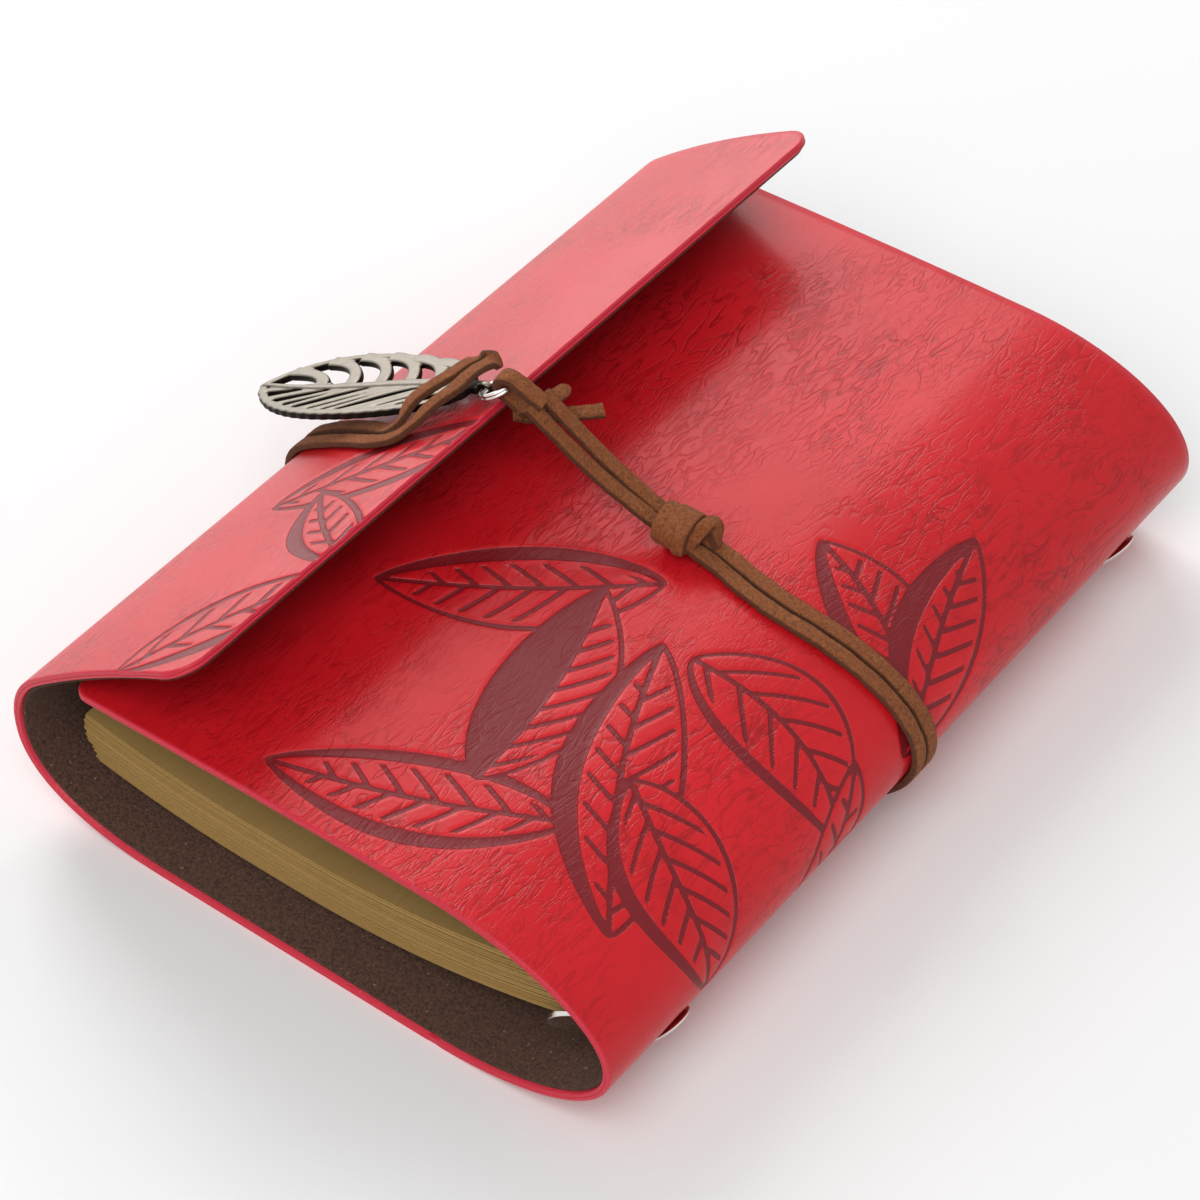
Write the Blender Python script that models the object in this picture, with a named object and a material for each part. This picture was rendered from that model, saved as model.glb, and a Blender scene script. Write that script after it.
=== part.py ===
"""Ring journal with a wrap cover, a strap and a leaf charm, lying closed on its back.

One soft sheet makes the front cover, the spine, the back cover and the flap that folds over
the front.  A six-ring mechanism is riveted inside the spine and holds kraft leaves.  A doubled
suede strap runs round the closed book and its loop hooks over the leaf charm on the flap.

Frame: X runs from the fold of the flap (-X) to the spine (+X), Y along the spine, Z up.
The origin is under the middle of the book, on the surface that it lies on.
"""
import math

import bmesh
import bpy
import numpy as np
from mathutils import Matrix, Vector

MM = 0.001
DEG = math.pi / 180

# Wrap cover: overall sizes of the closed book
COVER_LENGTH = 180 * MM
FOLD_X = -65 * MM
BACK_FLAT_START_X = -31 * MM
SPINE_CENTRE_X = 28 * MM
SPINE_REACH = 37 * MM
BODY_HEIGHT = 38.6 * MM
COVER_EDGE_X = -49 * MM
COVER_DROOP = 1.6 * MM
HINGE_ANGLE = 20 * DEG
FOLD_HEIGHT = 20 * MM
FOLD_FULLNESS = 2.4
FOLD_RADIUS = 17.5 * MM
FOLD_TURN = 50 * DEG
FLAP_REACH = 44 * MM
FLAP_BOW_RADIUS = 190 * MM
FLAP_CORNER_RADIUS = 6 * MM
COVER_CORNER_RADIUS = 3 * MM
LEATHER = 1.4 * MM
LINING = 0.5 * MM
FIT = 0.3 * MM
LINING_INSET = 0.6 * MM

# Suede strap
STRAP_WIDTH = 3.0 * MM
STRAP_THICK = 1.4 * MM
STRAND_GAP = 0.5 * MM
STRAP_LIFT = 0.2 * MM
CHANNEL_FLAT = 5 * MM
CHANNEL_SLOPE = 4 * MM
STRAP_Y_SPINE = -1.0 * MM
STRAP_Y_FOLD = -12.5 * MM
TAIL_WIDTH = 2.6 * MM
KNOT_X = 14.5 * MM
KNOT_LENGTH = 11 * MM
KNOT_WIDTH = 10.5 * MM
KNOT_HEIGHT = 7.5 * MM
KNOT_WAIST = 0.82
KNOT_CLEAR = 2 * MM
STRAP_SAG = 1.2 * MM
STRAP_SETTLE = 20 * MM

# Ring mechanism, in its own frame: t across the spine, h inwards from the spine's lining
MECHANISM_ANGLE = -26 * DEG
RING_RADIUS = 8.5 * MM
RING_RISE = 11 * MM
WIRE_RADIUS = 1.2 * MM
RING_LEG_T = 6.0 * MM
RING_INNER_Y = 25.4 * MM
RING_PITCH = 19 * MM
RINGS_PER_SIDE = 3
RING_TIP_GAP = 0.15 * MM
RAIL_HALF_WIDTH = 7.2 * MM
RAIL_HALF_LENGTH = 66.5 * MM
RAIL_SPLIT = 0.2 * MM
RAIL_H = 3.4 * MM
RAIL_THICK = 1.1 * MM
ARCH_HALF_WIDTH = 4.3 * MM
ARCH_RISE = 1.5 * MM
ARCH_THICK = 0.8 * MM
ARCH_OVERHANG = 10 * MM
RIVET_SETBACK = 3.5 * MM
RIVET_SHANK = 1.6 * MM
RIVET_HEAD = 4.7 * MM
RIVET_HEAD_HEIGHT = 1.1 * MM
RIVET_FLANGE = 2.7 * MM
RIVET_FLANGE_THICK = 0.6 * MM
LEVER_WIDTH = 12.6 * MM
LEVER_THICK = 1.0 * MM
LEVER_SETBACK = 5.5 * MM
LEVER_H = 3.2 * MM
LEVER_SLOPE = 55 * DEG
LEVER_BEND = 3 * MM
LEVER_REACH = 10.5 * MM
LEVER_FOOT = 2 * MM
LEVER_FLAT = 2.5 * MM

# Loose leaves, in groups that lie on each other
PAGE_LENGTH = 162 * MM
PAGE_WIDTH = 106 * MM
PAGE_GROUPS = 7
TURNING_GROUPS = 3
PAGE_THICK = 1.25 * MM
PAGE_HOLE = 2.4 * MM
PAGE_HOLE_DEPTH = 6 * MM
PAGE_MARGIN = 5.5 * MM
PAGE_BEND_X = -10 * MM
PAGE_BEND = 9.6 * MM
PAGE_BEND_SPAN = 57 * MM
PAGE_LEFT_X = -20 * MM
PAGE_LEFT_RISE = 3.4 * MM
PAGE_LEFT_SPAN = 36 * MM

# Leaf charm and its ring
LEAF_REST_S = 50 * MM
LEAF_EYE_S = 57 * MM
LEAF_Y = -6.6 * MM
LEAF_SKEW = 2.3 * DEG
LEAF_PITCH = 3 * DEG
LEAF_LENGTH = 58 * MM
LEAF_STEM = 4.2 * MM
LEAF_HALF_WIDTH = 10.2 * MM
LEAF_TAPER = 1.23
LEAF_FULLNESS = 0.38
LEAF_THICK = 1.4 * MM
LEAF_CLEAR = 2.1 * MM
LEAF_RIM = 1.5 * MM
MIDRIB = 1.1 * MM
FAR_SLITS = 6
FAR_SLIT_WIDTH = 4.2 * MM
FAR_SLIT_SWEEP = 7 * MM
NEAR_SLITS = 7
NEAR_SLIT_WIDTH = 1.9 * MM
NEAR_SLIT_SWEEP = 11 * MM
SLIT_START = 2.6 * MM
SLIT_SPAN = 41 * MM
STEM_HALF = 1.4 * MM
EYE_OUTER = 1.7 * MM
EYE_HOLE = 1.0 * MM
EYE_WIDTH = 1.4 * MM
EYE_DROP = 0.5 * MM
JUMP_RADIUS = 3.2 * MM
JUMP_WIRE = 0.5 * MM
JUMP_TILT = 6 * DEG

# Hitch of the strap round the ring, and the two cut ends under it
HITCH_WIDTH = 3.4 * MM
HITCH_THICK = 1.6 * MM
HITCH_BEND = 2.3 * MM
HITCH_LEG = 4 * MM
HITCH_GAP = 0.8 * MM

PANEL_DEPTH = LEATHER + FIT + LINING
RIVET_Y = RAIL_HALF_LENGTH + RIVET_SETBACK
ARCH_HALF_LENGTH = RIVET_Y + ARCH_OVERHANG
LEVER_PIVOT_Y = RIVET_Y + LEVER_SETBACK
PAGE_PITCH = PAGE_THICK + FIT
STRAND_OFFSET = (STRAP_WIDTH + STRAND_GAP) / 2
HINGE_OFFSET = STRAP_THICK + 2 * FIT

RED = (0.61, 0.020, 0.030)
LINING_BROWN = (0.028, 0.013, 0.009)
KRAFT = (0.33, 0.18, 0.060)
CHROME = (0.72, 0.72, 0.72)
PEWTER = (0.32, 0.28, 0.23)
SUEDE = (0.24, 0.085, 0.028)


def clear_scene():
    """Remove every object of the start scene."""
    for item in list(bpy.data.objects):
        bpy.data.objects.remove(item, do_unlink=True)


def make_material(name, colour, roughness, metallic=0.0):
    """One Principled material with a plain colour."""
    material = bpy.data.materials.new(name)
    material.use_nodes = True
    shader = material.node_tree.nodes["Principled BSDF"]
    shader.inputs["Base Color"].default_value = (*colour, 1.0)
    shader.inputs["Roughness"].default_value = roughness
    shader.inputs["Metallic"].default_value = metallic
    return material


def add_mesh(name, verts, faces, material, pivot=None, sharp=35 * DEG):
    """A closed mesh object with its faces turned outwards, hung on an empty if it moves."""
    mesh = bpy.data.meshes.new(name)
    origin = Vector(pivot.location) if pivot else Vector((0, 0, 0))
    mesh.from_pydata([tuple(Vector(v) - origin) for v in verts], [], [tuple(f) for f in faces])
    build = bmesh.new()
    build.from_mesh(mesh)
    bmesh.ops.recalc_face_normals(build, faces=build.faces)
    build.to_mesh(mesh)
    build.free()
    mesh.shade_smooth()
    mesh.set_sharp_from_angle(angle=sharp)
    mesh.materials.append(material)
    item = bpy.data.objects.new(name, mesh)
    bpy.context.collection.objects.link(item)
    if pivot:
        item.parent = pivot
    return item


def add_pivot(name, place):
    """An empty on a joint's axis."""
    empty = bpy.data.objects.new(name, None)
    empty.location = Vector(place)
    bpy.context.collection.objects.link(empty)
    return empty


def cut(item, cutter_name, verts, faces):
    """Cut a hidden mesh, given in world coordinates, out of an object."""
    cutter = add_mesh(cutter_name, verts, faces, item.data.materials[0])
    cutter.hide_render = True
    cutter.display_type = "WIRE"
    modifier = item.modifiers.new(cutter_name, "BOOLEAN")
    modifier.operation = "DIFFERENCE"
    modifier.solver = "EXACT"
    modifier.object = cutter


# Outline of the wrap cover: outer points (x, z) from the cover's free edge round to the flap's


def front_outline(flat_points=8, curve_points=9):
    """Nearly flat front cover, drooping a little to its free edge, then the spine's upper curve."""
    share = np.linspace(1, 0, flat_points)
    flat_x = SPINE_CENTRE_X + (COVER_EDGE_X - SPINE_CENTRE_X) * share
    flat = np.stack([flat_x, BODY_HEIGHT - COVER_DROOP * share ** 2], 1)
    return np.concatenate([flat[:-1], spine_arc(90 * DEG, HINGE_ANGLE, curve_points)])


def spine_arc(start, end, count):
    """Part of the half ellipse that the spine follows."""
    angle = np.linspace(start, end, count)
    half = BODY_HEIGHT / 2
    return np.stack([SPINE_CENTRE_X + SPINE_REACH * np.cos(angle), half + half * np.sin(angle)], 1)


def spine_outline():
    """Spine from the cover's hinge down to the resting surface."""
    return spine_arc(HINGE_ANGLE, -90 * DEG, 17)


def back_outline(flat_points=9, curve_points=13):
    """Flat back, then a full quarter curve up to the fold of the flap."""
    flat_x = np.linspace(SPINE_CENTRE_X, BACK_FLAT_START_X, flat_points)
    flat = np.stack([flat_x, np.zeros(flat_points)], 1)
    angle = np.linspace(0, 90 * DEG, curve_points)
    power = 2 / FOLD_FULLNESS
    curve_x = BACK_FLAT_START_X + (FOLD_X - BACK_FLAT_START_X) * np.abs(np.sin(angle)) ** power
    curve_z = FOLD_HEIGHT * (1 - np.abs(np.cos(angle)) ** power)
    return np.concatenate([flat[:-1], np.stack([curve_x, curve_z], 1)])


def flap_outline(fold_points=8, bow_points=10):
    """Tight arc of the fold, then the gently bowed flap up to its free edge."""
    turn = np.linspace(0, FOLD_TURN, fold_points)
    fold_x = FOLD_X + FOLD_RADIUS * (1 - np.cos(turn))
    fold_z = FOLD_HEIGHT + FOLD_RADIUS * np.sin(turn)
    heading = 90 * DEG - FOLD_TURN
    bow = np.linspace(0, FLAP_REACH / FLAP_BOW_RADIUS, bow_points)[1:]
    along = FLAP_BOW_RADIUS * np.sin(bow)
    aside = FLAP_BOW_RADIUS * (1 - np.cos(bow))
    bow_x = fold_x[-1] + along * math.cos(heading) + aside * math.sin(heading)
    bow_z = fold_z[-1] + along * math.sin(heading) - aside * math.cos(heading)
    return np.stack([np.concatenate([fold_x, bow_x]), np.concatenate([fold_z, bow_z])], 1)


def outward(path):
    """Unit normals on the left of the way round, which is the outside of the cover."""
    tangent = np.gradient(path, axis=0)
    normal = np.stack([-tangent[:, 1], tangent[:, 0]], 1)
    return normal / np.linalg.norm(normal, axis=1)[:, None]


def distance_along(path):
    """Arc length at each point of a path."""
    return np.concatenate([[0], np.cumsum(np.linalg.norm(np.diff(path, axis=0), axis=1))])


OUTLINES = {
    "front": front_outline(),
    "spine": spine_outline(),
    "back": back_outline(),
    "flap": flap_outline(),
}
WHOLE = np.concatenate([OUTLINES["front"]] + [OUTLINES[name][1:] for name in ("spine", "back", "flap")])
WHOLE_NORMAL = outward(WHOLE)


def stretch(name):
    """Points and normals of one stretch of the cover; neighbours share their end normals."""
    before = list(OUTLINES)[:list(OUTLINES).index(name)]
    start = sum(len(OUTLINES[other]) - 1 for other in before)
    stop = start + len(OUTLINES[name])
    return WHOLE[start:stop], WHOLE_NORMAL[start:stop]


def press_depth(path, normal):
    """How far the strap presses each point of the underside in, so that it stays off the surface."""
    need = STRAP_THICK + FIT + STRAP_LIFT - path[:, 1]
    return np.where(normal[:, 1] < -0.5, np.clip(need, 0, None), 0)


def strap_y(x):
    """The strap runs askew under the book, from the spine to the fold."""
    share = np.clip((SPINE_CENTRE_X + SPINE_REACH - x) / (SPINE_CENTRE_X + SPINE_REACH - FOLD_X), 0, 1)
    return STRAP_Y_SPINE + (STRAP_Y_FOLD - STRAP_Y_SPINE) * share


def trim_ends(path, normal, gap_start, gap_end):
    """Shorten the ends of a stretch along its own tangents."""
    path = path.copy()
    first = path[1] - path[0]
    last = path[-2] - path[-1]
    path[0] += first / np.linalg.norm(first) * gap_start
    path[-1] += last / np.linalg.norm(last) * gap_end
    return path, normal


def grid_solid(outer, inner):
    """Closed solid between two grids of points of the same shape."""
    rows, columns = outer.shape[:2]
    verts = np.concatenate([outer.reshape(-1, 3), inner.reshape(-1, 3)])
    at = np.arange(rows * columns).reshape(rows, columns)
    under = at + rows * columns
    faces = []
    for i in range(rows - 1):
        for j in range(columns - 1):
            faces.append((at[i, j], at[i + 1, j], at[i + 1, j + 1], at[i, j + 1]))
            faces.append((under[i, j], under[i, j + 1], under[i + 1, j + 1], under[i + 1, j]))
    rim = [(i, 0) for i in range(rows)] + [(rows - 1, j) for j in range(1, columns)]
    rim += [(i, columns - 1) for i in range(rows - 2, -1, -1)] + [(0, j) for j in range(columns - 2, 0, -1)]
    for here, there in zip(rim, rim[1:] + rim[:1]):
        faces.append((at[here], under[here], under[there], at[there]))
    return verts.tolist(), faces


def cover_sheet(name, path, normal, depth, thick, half_length, material, pivot=None):
    """A sheet of the cover at a depth under its outer face, with the strap's pressed channel."""
    press = press_depth(path, normal)
    middle = strap_y(path[:, 0])
    if press.max() > 0:
        reach = [-CHANNEL_FLAT - CHANNEL_SLOPE, -CHANNEL_FLAT, CHANNEL_FLAT, CHANNEL_FLAT + CHANNEL_SLOPE]
        stations = [-half_length] + [middle + r for r in reach] + [half_length]
        pressed = [0, 0, 1, 1, 0, 0]
    else:
        stations = [-half_length, half_length]
        pressed = [0, 0]
    layers = []
    for level in (depth, depth + thick):
        columns = []
        for place, share in zip(stations, pressed):
            point = path - normal * (level + press * share)[:, None]
            columns.append(np.stack([point[:, 0], np.broadcast_to(place, len(path)), point[:, 1]], 1))
        layers.append(np.stack(columns, 1))
    verts, faces = grid_solid(*layers)
    return add_mesh(name, verts, faces, material, pivot)


def rounded_half_length(path, from_start, radius, half):
    """Half length of a sheet at each point, shortened in a quarter circle at its free edge."""
    length = distance_along(path)
    to_edge = length if from_start else length[-1] - length
    inside = np.clip(radius - to_edge, 0, radius)
    return half - radius + np.sqrt(radius ** 2 - inside ** 2)


def refine_edge(path, normal, at_start, radius, count=5):
    """Add points near a free edge, so that its rounded corners have enough of them."""
    length = distance_along(path)
    steps = radius * (1 - np.cos(np.linspace(0, 90 * DEG, count + 1)))
    edge = steps if at_start else length[-1] - steps
    keep = length[length > radius] if at_start else length[length < length[-1] - radius]
    wanted = np.unique(np.concatenate([edge, keep]))
    new_path = np.stack([np.interp(wanted, length, path[:, k]) for k in (0, 1)], 1)
    new_normal = np.stack([np.interp(wanted, length, normal[:, k]) for k in (0, 1)], 1)
    return new_path, new_normal / np.linalg.norm(new_normal, axis=1)[:, None]


def build_cover(red, brown, cover_pivot, flap_pivot):
    """Leather panel and flocked lining of each stretch of the wrap cover."""
    half = COVER_LENGTH / 2
    panels = {}
    plan = [
        ("front", "front_cover", "front_lining", cover_pivot, 0, FIT, COVER_CORNER_RADIUS),
        ("spine", "spine_panel", "spine_lining", None, 0, FIT, None),
        ("back", "back_cover", "back_lining", None, 0, FIT, None),
        ("flap", "flap_panel", "flap_lining", flap_pivot, 0, 0, FLAP_CORNER_RADIUS),
    ]
    for name, panel_name, lining_name, pivot, gap_start, gap_end, corner in plan:
        path, normal = trim_ends(*stretch(name), gap_start, gap_end)
        panel_half = np.full(len(path), half)
        if corner:
            at_start = name == "front"
            path, normal = refine_edge(path, normal, at_start, corner)
            panel_half = rounded_half_length(path, at_start, corner, half)
        panels[panel_name] = cover_sheet(panel_name, path, normal, 0, LEATHER, panel_half, red, pivot)
        inset = {"front": (LINING_INSET, 0), "flap": (0, LINING_INSET)}.get(name, (0, 0))
        inner_path, inner_normal = trim_ends(path, normal, *inset)
        panels[lining_name] = cover_sheet(
            lining_name, inner_path, inner_normal, LEATHER + FIT, LINING,
            panel_half - LINING_INSET, brown, pivot)
    return panels


# Ring mechanism: a frame on the spine's lining at MECHANISM_ANGLE


def mechanism_frame():
    """Origin on the lining, unit vector across the spine and unit vector inwards, all (x, z)."""
    half = BODY_HEIGHT / 2
    cosine, sine = math.cos(MECHANISM_ANGLE), math.sin(MECHANISM_ANGLE)
    point = np.array([SPINE_CENTRE_X + SPINE_REACH * cosine, half + half * sine])
    across = np.array([-SPINE_REACH * sine, half * cosine])
    across /= np.linalg.norm(across)
    inward = np.array([-across[1], across[0]])
    return point + inward * PANEL_DEPTH, across, inward


MECH_ORIGIN, MECH_T, MECH_N = mechanism_frame()
RING_CENTRE = MECH_ORIGIN + MECH_N * RING_RISE


def mech(t, h, y):
    """World point from the mechanism's frame."""
    x, z = MECH_ORIGIN + MECH_T * t + MECH_N * h
    return (x, y, z)


def prism(outline, place, start, end):
    """Closed prism of a 2-D outline between two stations; place turns (u, v, w) to the world."""
    count = len(outline)
    verts = [place(u, v, w) for w in (start, end) for u, v in outline]
    faces = [tuple(range(count)), tuple(range(2 * count - 1, count - 1, -1))]
    for i in range(count):
        j = (i + 1) % count
        faces.append((i, j, count + j, count + i))
    return verts, faces


def ribbon_outline(points, thick):
    """Outline of a bent strip of even thickness round a middle line."""
    points = np.array(points)
    normal = outward(points) * thick / 2
    return np.concatenate([points + normal, (points - normal)[::-1]])


def tube(sections):
    """Closed tube through rings of points."""
    count = len(sections[0])
    verts = [tuple(p) for ring in sections for p in ring]
    faces = [tuple(range(count)), tuple(range(len(verts) - 1, len(verts) - count - 1, -1))]
    for i in range(len(sections) - 1):
        for j in range(count):
            k = (j + 1) % count
            faces.append((i * count + j, (i + 1) * count + j, (i + 1) * count + k, i * count + k))
    return verts, faces


def round_tube(points, radius, sides=8):
    """Round wire along a path that lies in a plane of constant y."""
    points = np.array(points)
    tangent = np.gradient(points, axis=0)
    tangent /= np.linalg.norm(tangent, axis=1)[:, None]
    across = np.array([0.0, 1.0, 0.0])
    sections = []
    for point, along in zip(points, tangent):
        other = np.cross(along, across)
        other /= np.linalg.norm(other)
        angle = np.arange(sides)[:, None] * 2 * math.pi / sides
        sections.append(point + radius * (np.cos(angle) * across + np.sin(angle) * other))
    return tube(sections)


def ring_places():
    """Y of each ring, near end first."""
    far = [RING_INNER_Y + RING_PITCH * i for i in range(RINGS_PER_SIDE)]
    return sorted([-y for y in far] + far)


def build_mechanism(chrome, ring_pivot, lever_pivots, panels):
    """Arched plate, two rails, twelve half rings, two levers and two rivets."""
    arch_turn = np.linspace(-1, 1, 9)
    arch_edge_h = RAIL_H + RAIL_THICK + FIT + ARCH_THICK / 2
    arch_line = [(ARCH_HALF_WIDTH * s, arch_edge_h + ARCH_RISE * (1 - s * s)) for s in arch_turn]
    arch_top = arch_edge_h + ARCH_RISE + ARCH_THICK / 2
    verts, faces = prism(ribbon_outline(arch_line, ARCH_THICK), mech, -ARCH_HALF_LENGTH, ARCH_HALF_LENGTH)
    panels["ring_arch"] = add_mesh("ring_arch", verts, faces, chrome)

    leg_turn = math.pi - math.asin(RING_LEG_T / RING_RADIUS)
    tip_turn = RING_TIP_GAP / RING_RADIUS
    for side, label in ((1, "upper"), (-1, "lower")):
        rail = [(side * t, h) for t, h in (
            (RAIL_SPLIT, RAIL_H), (RAIL_HALF_WIDTH, RAIL_H),
            (RAIL_HALF_WIDTH, RAIL_H + RAIL_THICK), (RAIL_SPLIT, RAIL_H + RAIL_THICK))]
        verts, faces = prism(rail, mech, -RAIL_HALF_LENGTH, RAIL_HALF_LENGTH)
        add_mesh(f"ring_rail_{label}", verts, faces, chrome, ring_pivot)
        turn = np.linspace(tip_turn, leg_turn, 13)
        wire = [(side * RING_RADIUS * math.sin(a), RING_RISE + RING_RADIUS * math.cos(a)) for a in turn]
        wire.append((side * RING_LEG_T, RAIL_H + RAIL_THICK + FIT))
        for number, y in enumerate(ring_places(), 1):
            verts, faces = round_tube([mech(t, h, y) for t, h in wire], WIRE_RADIUS)
            add_mesh(f"half_ring_{label}_{number}", verts, faces, chrome, ring_pivot)

    sweep = np.linspace(0, LEVER_SLOPE, 6)
    lever_u = LEVER_FLAT + LEVER_BEND * np.sin(sweep)
    lever_h = LEVER_H + LEVER_BEND * (1 - np.cos(sweep))
    tip = (LEVER_REACH, lever_h[-1] + (LEVER_REACH - lever_u[-1]) * math.tan(LEVER_SLOPE))
    lever_line = [(-LEVER_FOOT, LEVER_H)] + list(zip(lever_u, lever_h)) + [tip]
    outline = ribbon_outline(lever_line, LEVER_THICK)
    for end, pivot in lever_pivots.items():
        side = -1 if end == "near" else 1
        verts, faces = prism(
            outline, lambda u, h, t, s=side: mech(t, h, s * (LEVER_PIVOT_Y + u)),
            -LEVER_WIDTH / 2, LEVER_WIDTH / 2)
        add_mesh(f"ring_lever_{end}", verts, faces, chrome, pivot)

        head = -PANEL_DEPTH - FIT
        foot = arch_top + FIT
        dome = np.linspace(0, 90 * DEG, 5)
        rivet = [(RIVET_HEAD * math.sin(a), head - RIVET_HEAD_HEIGHT * math.cos(a)) for a in dome]
        rivet += [(RIVET_SHANK, head), (RIVET_SHANK, foot), (RIVET_FLANGE, foot),
                  (RIVET_FLANGE, foot + RIVET_FLANGE_THICK), (0, foot + RIVET_FLANGE_THICK)]
        verts, faces = turned(rivet, lambda a, b, h, s=side: mech(a, h, s * RIVET_Y + b))
        add_mesh(f"rivet_{end}", verts, faces, chrome)
        bore_radius = RIVET_SHANK + FIT
        bore = [(0, head), (bore_radius, head), (bore_radius, foot), (0, foot)]
        verts, faces = turned(bore, lambda a, b, h, s=side: mech(a, h, s * RIVET_Y + b))
        for holed in ("spine_panel", "spine_lining", "ring_arch"):
            cut(panels[holed], f"{holed}_bore_{end}", verts, faces)


def turned(profile, place, sides=16):
    """Closed solid turned from a profile of (radius, height) whose ends lie on the axis."""
    verts = [place(0, 0, profile[0][1])]
    for radius, height in profile[1:-1]:
        for k in range(sides):
            angle = 2 * math.pi * k / sides
            verts.append(place(radius * math.cos(angle), radius * math.sin(angle), height))
    verts.append(place(0, 0, profile[-1][1]))
    rings = len(profile) - 2
    faces = []
    for k in range(sides):
        n = (k + 1) % sides
        faces.append((0, 1 + n, 1 + k))
        for r in range(rings - 1):
            a, b = 1 + r * sides, 1 + (r + 1) * sides
            faces.append((a + k, a + n, b + n, b + k))
        last = 1 + (rings - 1) * sides
        faces.append((last + k, last + n, len(verts) - 1))
    return verts, faces


# Loose leaves


def page_height(x, group):
    """Underside of a group of leaves: lifted at the rings and at the fold, flat between."""
    right = np.clip((x - PAGE_BEND_X) / PAGE_BEND_SPAN, 0, None)
    left = np.clip((PAGE_LEFT_X - x) / PAGE_LEFT_SPAN, 0, None)
    floor = STRAP_THICK + STRAP_LIFT + PANEL_DEPTH + 2 * FIT
    return floor + group * PAGE_PITCH + PAGE_BEND * right ** 2 + PAGE_LEFT_RISE * left ** 2


def page_hole_x(group):
    """X where the middle of a group meets the ring, on its left side."""
    low, high = RING_CENTRE[0] - RING_RADIUS, RING_CENTRE[0]
    for _ in range(40):
        middle = (low + high) / 2
        z = page_height(middle, group) + PAGE_THICK / 2
        if math.hypot(middle - RING_CENTRE[0], z - RING_CENTRE[1]) > RING_RADIUS:
            low = middle
        else:
            high = middle
    return low


def build_pages(kraft, page_pivots):
    """Groups of punched leaves, each bent along the way it lies."""
    for group in range(PAGE_GROUPS):
        hole_x = page_hole_x(group)
        x = np.linspace(hole_x + PAGE_MARGIN, hole_x + PAGE_MARGIN - PAGE_WIDTH, 15)
        low = page_height(x, group)
        outline = [(a, b) for a, b in zip(x, low + PAGE_THICK)]
        outline += [(a, b) for a, b in zip(x[::-1], low[::-1])]
        verts, faces = prism(outline, lambda u, v, w: (u, w, v), -PAGE_LENGTH / 2, PAGE_LENGTH / 2)
        pivot = page_pivots.get(group)
        item = add_mesh(f"page_group_{group + 1}", verts, faces, kraft, pivot)
        hole_z = page_height(hole_x, group) + PAGE_THICK / 2
        middle = math.atan2(hole_z - RING_CENTRE[1], hole_x - RING_CENTRE[0])
        turn = middle + np.linspace(-1, 1, 9) * PAGE_HOLE_DEPTH / RING_RADIUS
        arc = RING_CENTRE + RING_RADIUS * np.stack([np.cos(turn), np.sin(turn)], 1)
        bores = [round_tube([(x, y, z) for x, z in arc], PAGE_HOLE, 12) for y in ring_places()]
        cut(item, f"page_group_{group + 1}_holes", *joined(bores))


def joined(solids):
    """Several closed solids as one list of points and faces."""
    verts, faces = [], []
    for some_verts, some_faces in solids:
        start = len(verts)
        verts += some_verts
        faces += [tuple(start + i for i in face) for face in some_faces]
    return verts, faces


# Strap


def strap_section(width, thick):
    """Flat section with cut corners, as (across, up) pairs."""
    a, b, c = width / 2, thick / 2, thick / 4
    half = [(a - c, -b), (a, -b + c), (a, b - c), (a - c, b)]
    return half + [(-across, -up) for across, up in half]


def strap_solid(points, normals, width=STRAP_WIDTH, thick=STRAP_THICK):
    """Flat strip along a path; its broad faces look along the normals."""
    points, normals = np.array(points), np.array(normals)
    tangent = np.gradient(points, axis=0)
    tangent /= np.linalg.norm(tangent, axis=1)[:, None]
    section = strap_section(width, thick)
    sections = []
    for point, along, up in zip(points, tangent, normals):
        up = up - along * np.dot(up, along)
        up /= np.linalg.norm(up)
        across = np.cross(along, up)
        sections.append([point + across * a + up * b for a, b in section])
    return tube(sections)


def smooth(points, count):
    """Points evenly spaced along a Catmull-Rom curve through a few chosen points."""
    points = np.array(points, float)
    padded = np.concatenate([[2 * points[0] - points[1]], points, [2 * points[-1] - points[-2]]])
    fine = []
    for i in range(len(points) - 1):
        p0, p1, p2, p3 = padded[i:i + 4]
        for u in np.linspace(0, 1, 12, endpoint=False):
            fine.append(0.5 * (2 * p1 + (p2 - p0) * u + (2 * p0 - 5 * p1 + 4 * p2 - p3) * u ** 2
                               + (3 * p1 - p0 - 3 * p2 + p3) * u ** 3))
    fine = np.array(fine + [points[-1]])
    length = distance_along(fine)
    wanted = np.linspace(0, length[-1], count)
    return np.stack([np.interp(wanted, length, fine[:, k]) for k in range(points.shape[1])], 1)


def on_cover(path, normal, y, lift):
    """Strap middle line and normals on the outside of a stretch of the cover."""
    height = lift - press_depth(path, normal)
    points = [(p[0] + n[0] * h, v, p[1] + n[1] * h) for p, n, v, h in zip(path, normal, y, height)]
    return points, [(n[0], 0, n[1]) for n in normal]


def flap_point(s, y, h):
    """World point at a distance along the flap from the fold, and at a height over it."""
    path, normal = stretch("flap")
    length = distance_along(path)
    x, z = (np.interp(s, length, path[:, k]) for k in (0, 1))
    nx, nz = (np.interp(s, length, normal[:, k]) for k in (0, 1))
    over = max(s - length[-1], 0)
    if over:
        tangent = (path[-1] - path[-2]) / np.linalg.norm(path[-1] - path[-2])
        x, z = x + tangent[0] * over, z + tangent[1] * over
    return np.array([x + nx * h, y, z + nz * h]), np.array([nx, 0, nz])


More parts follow.
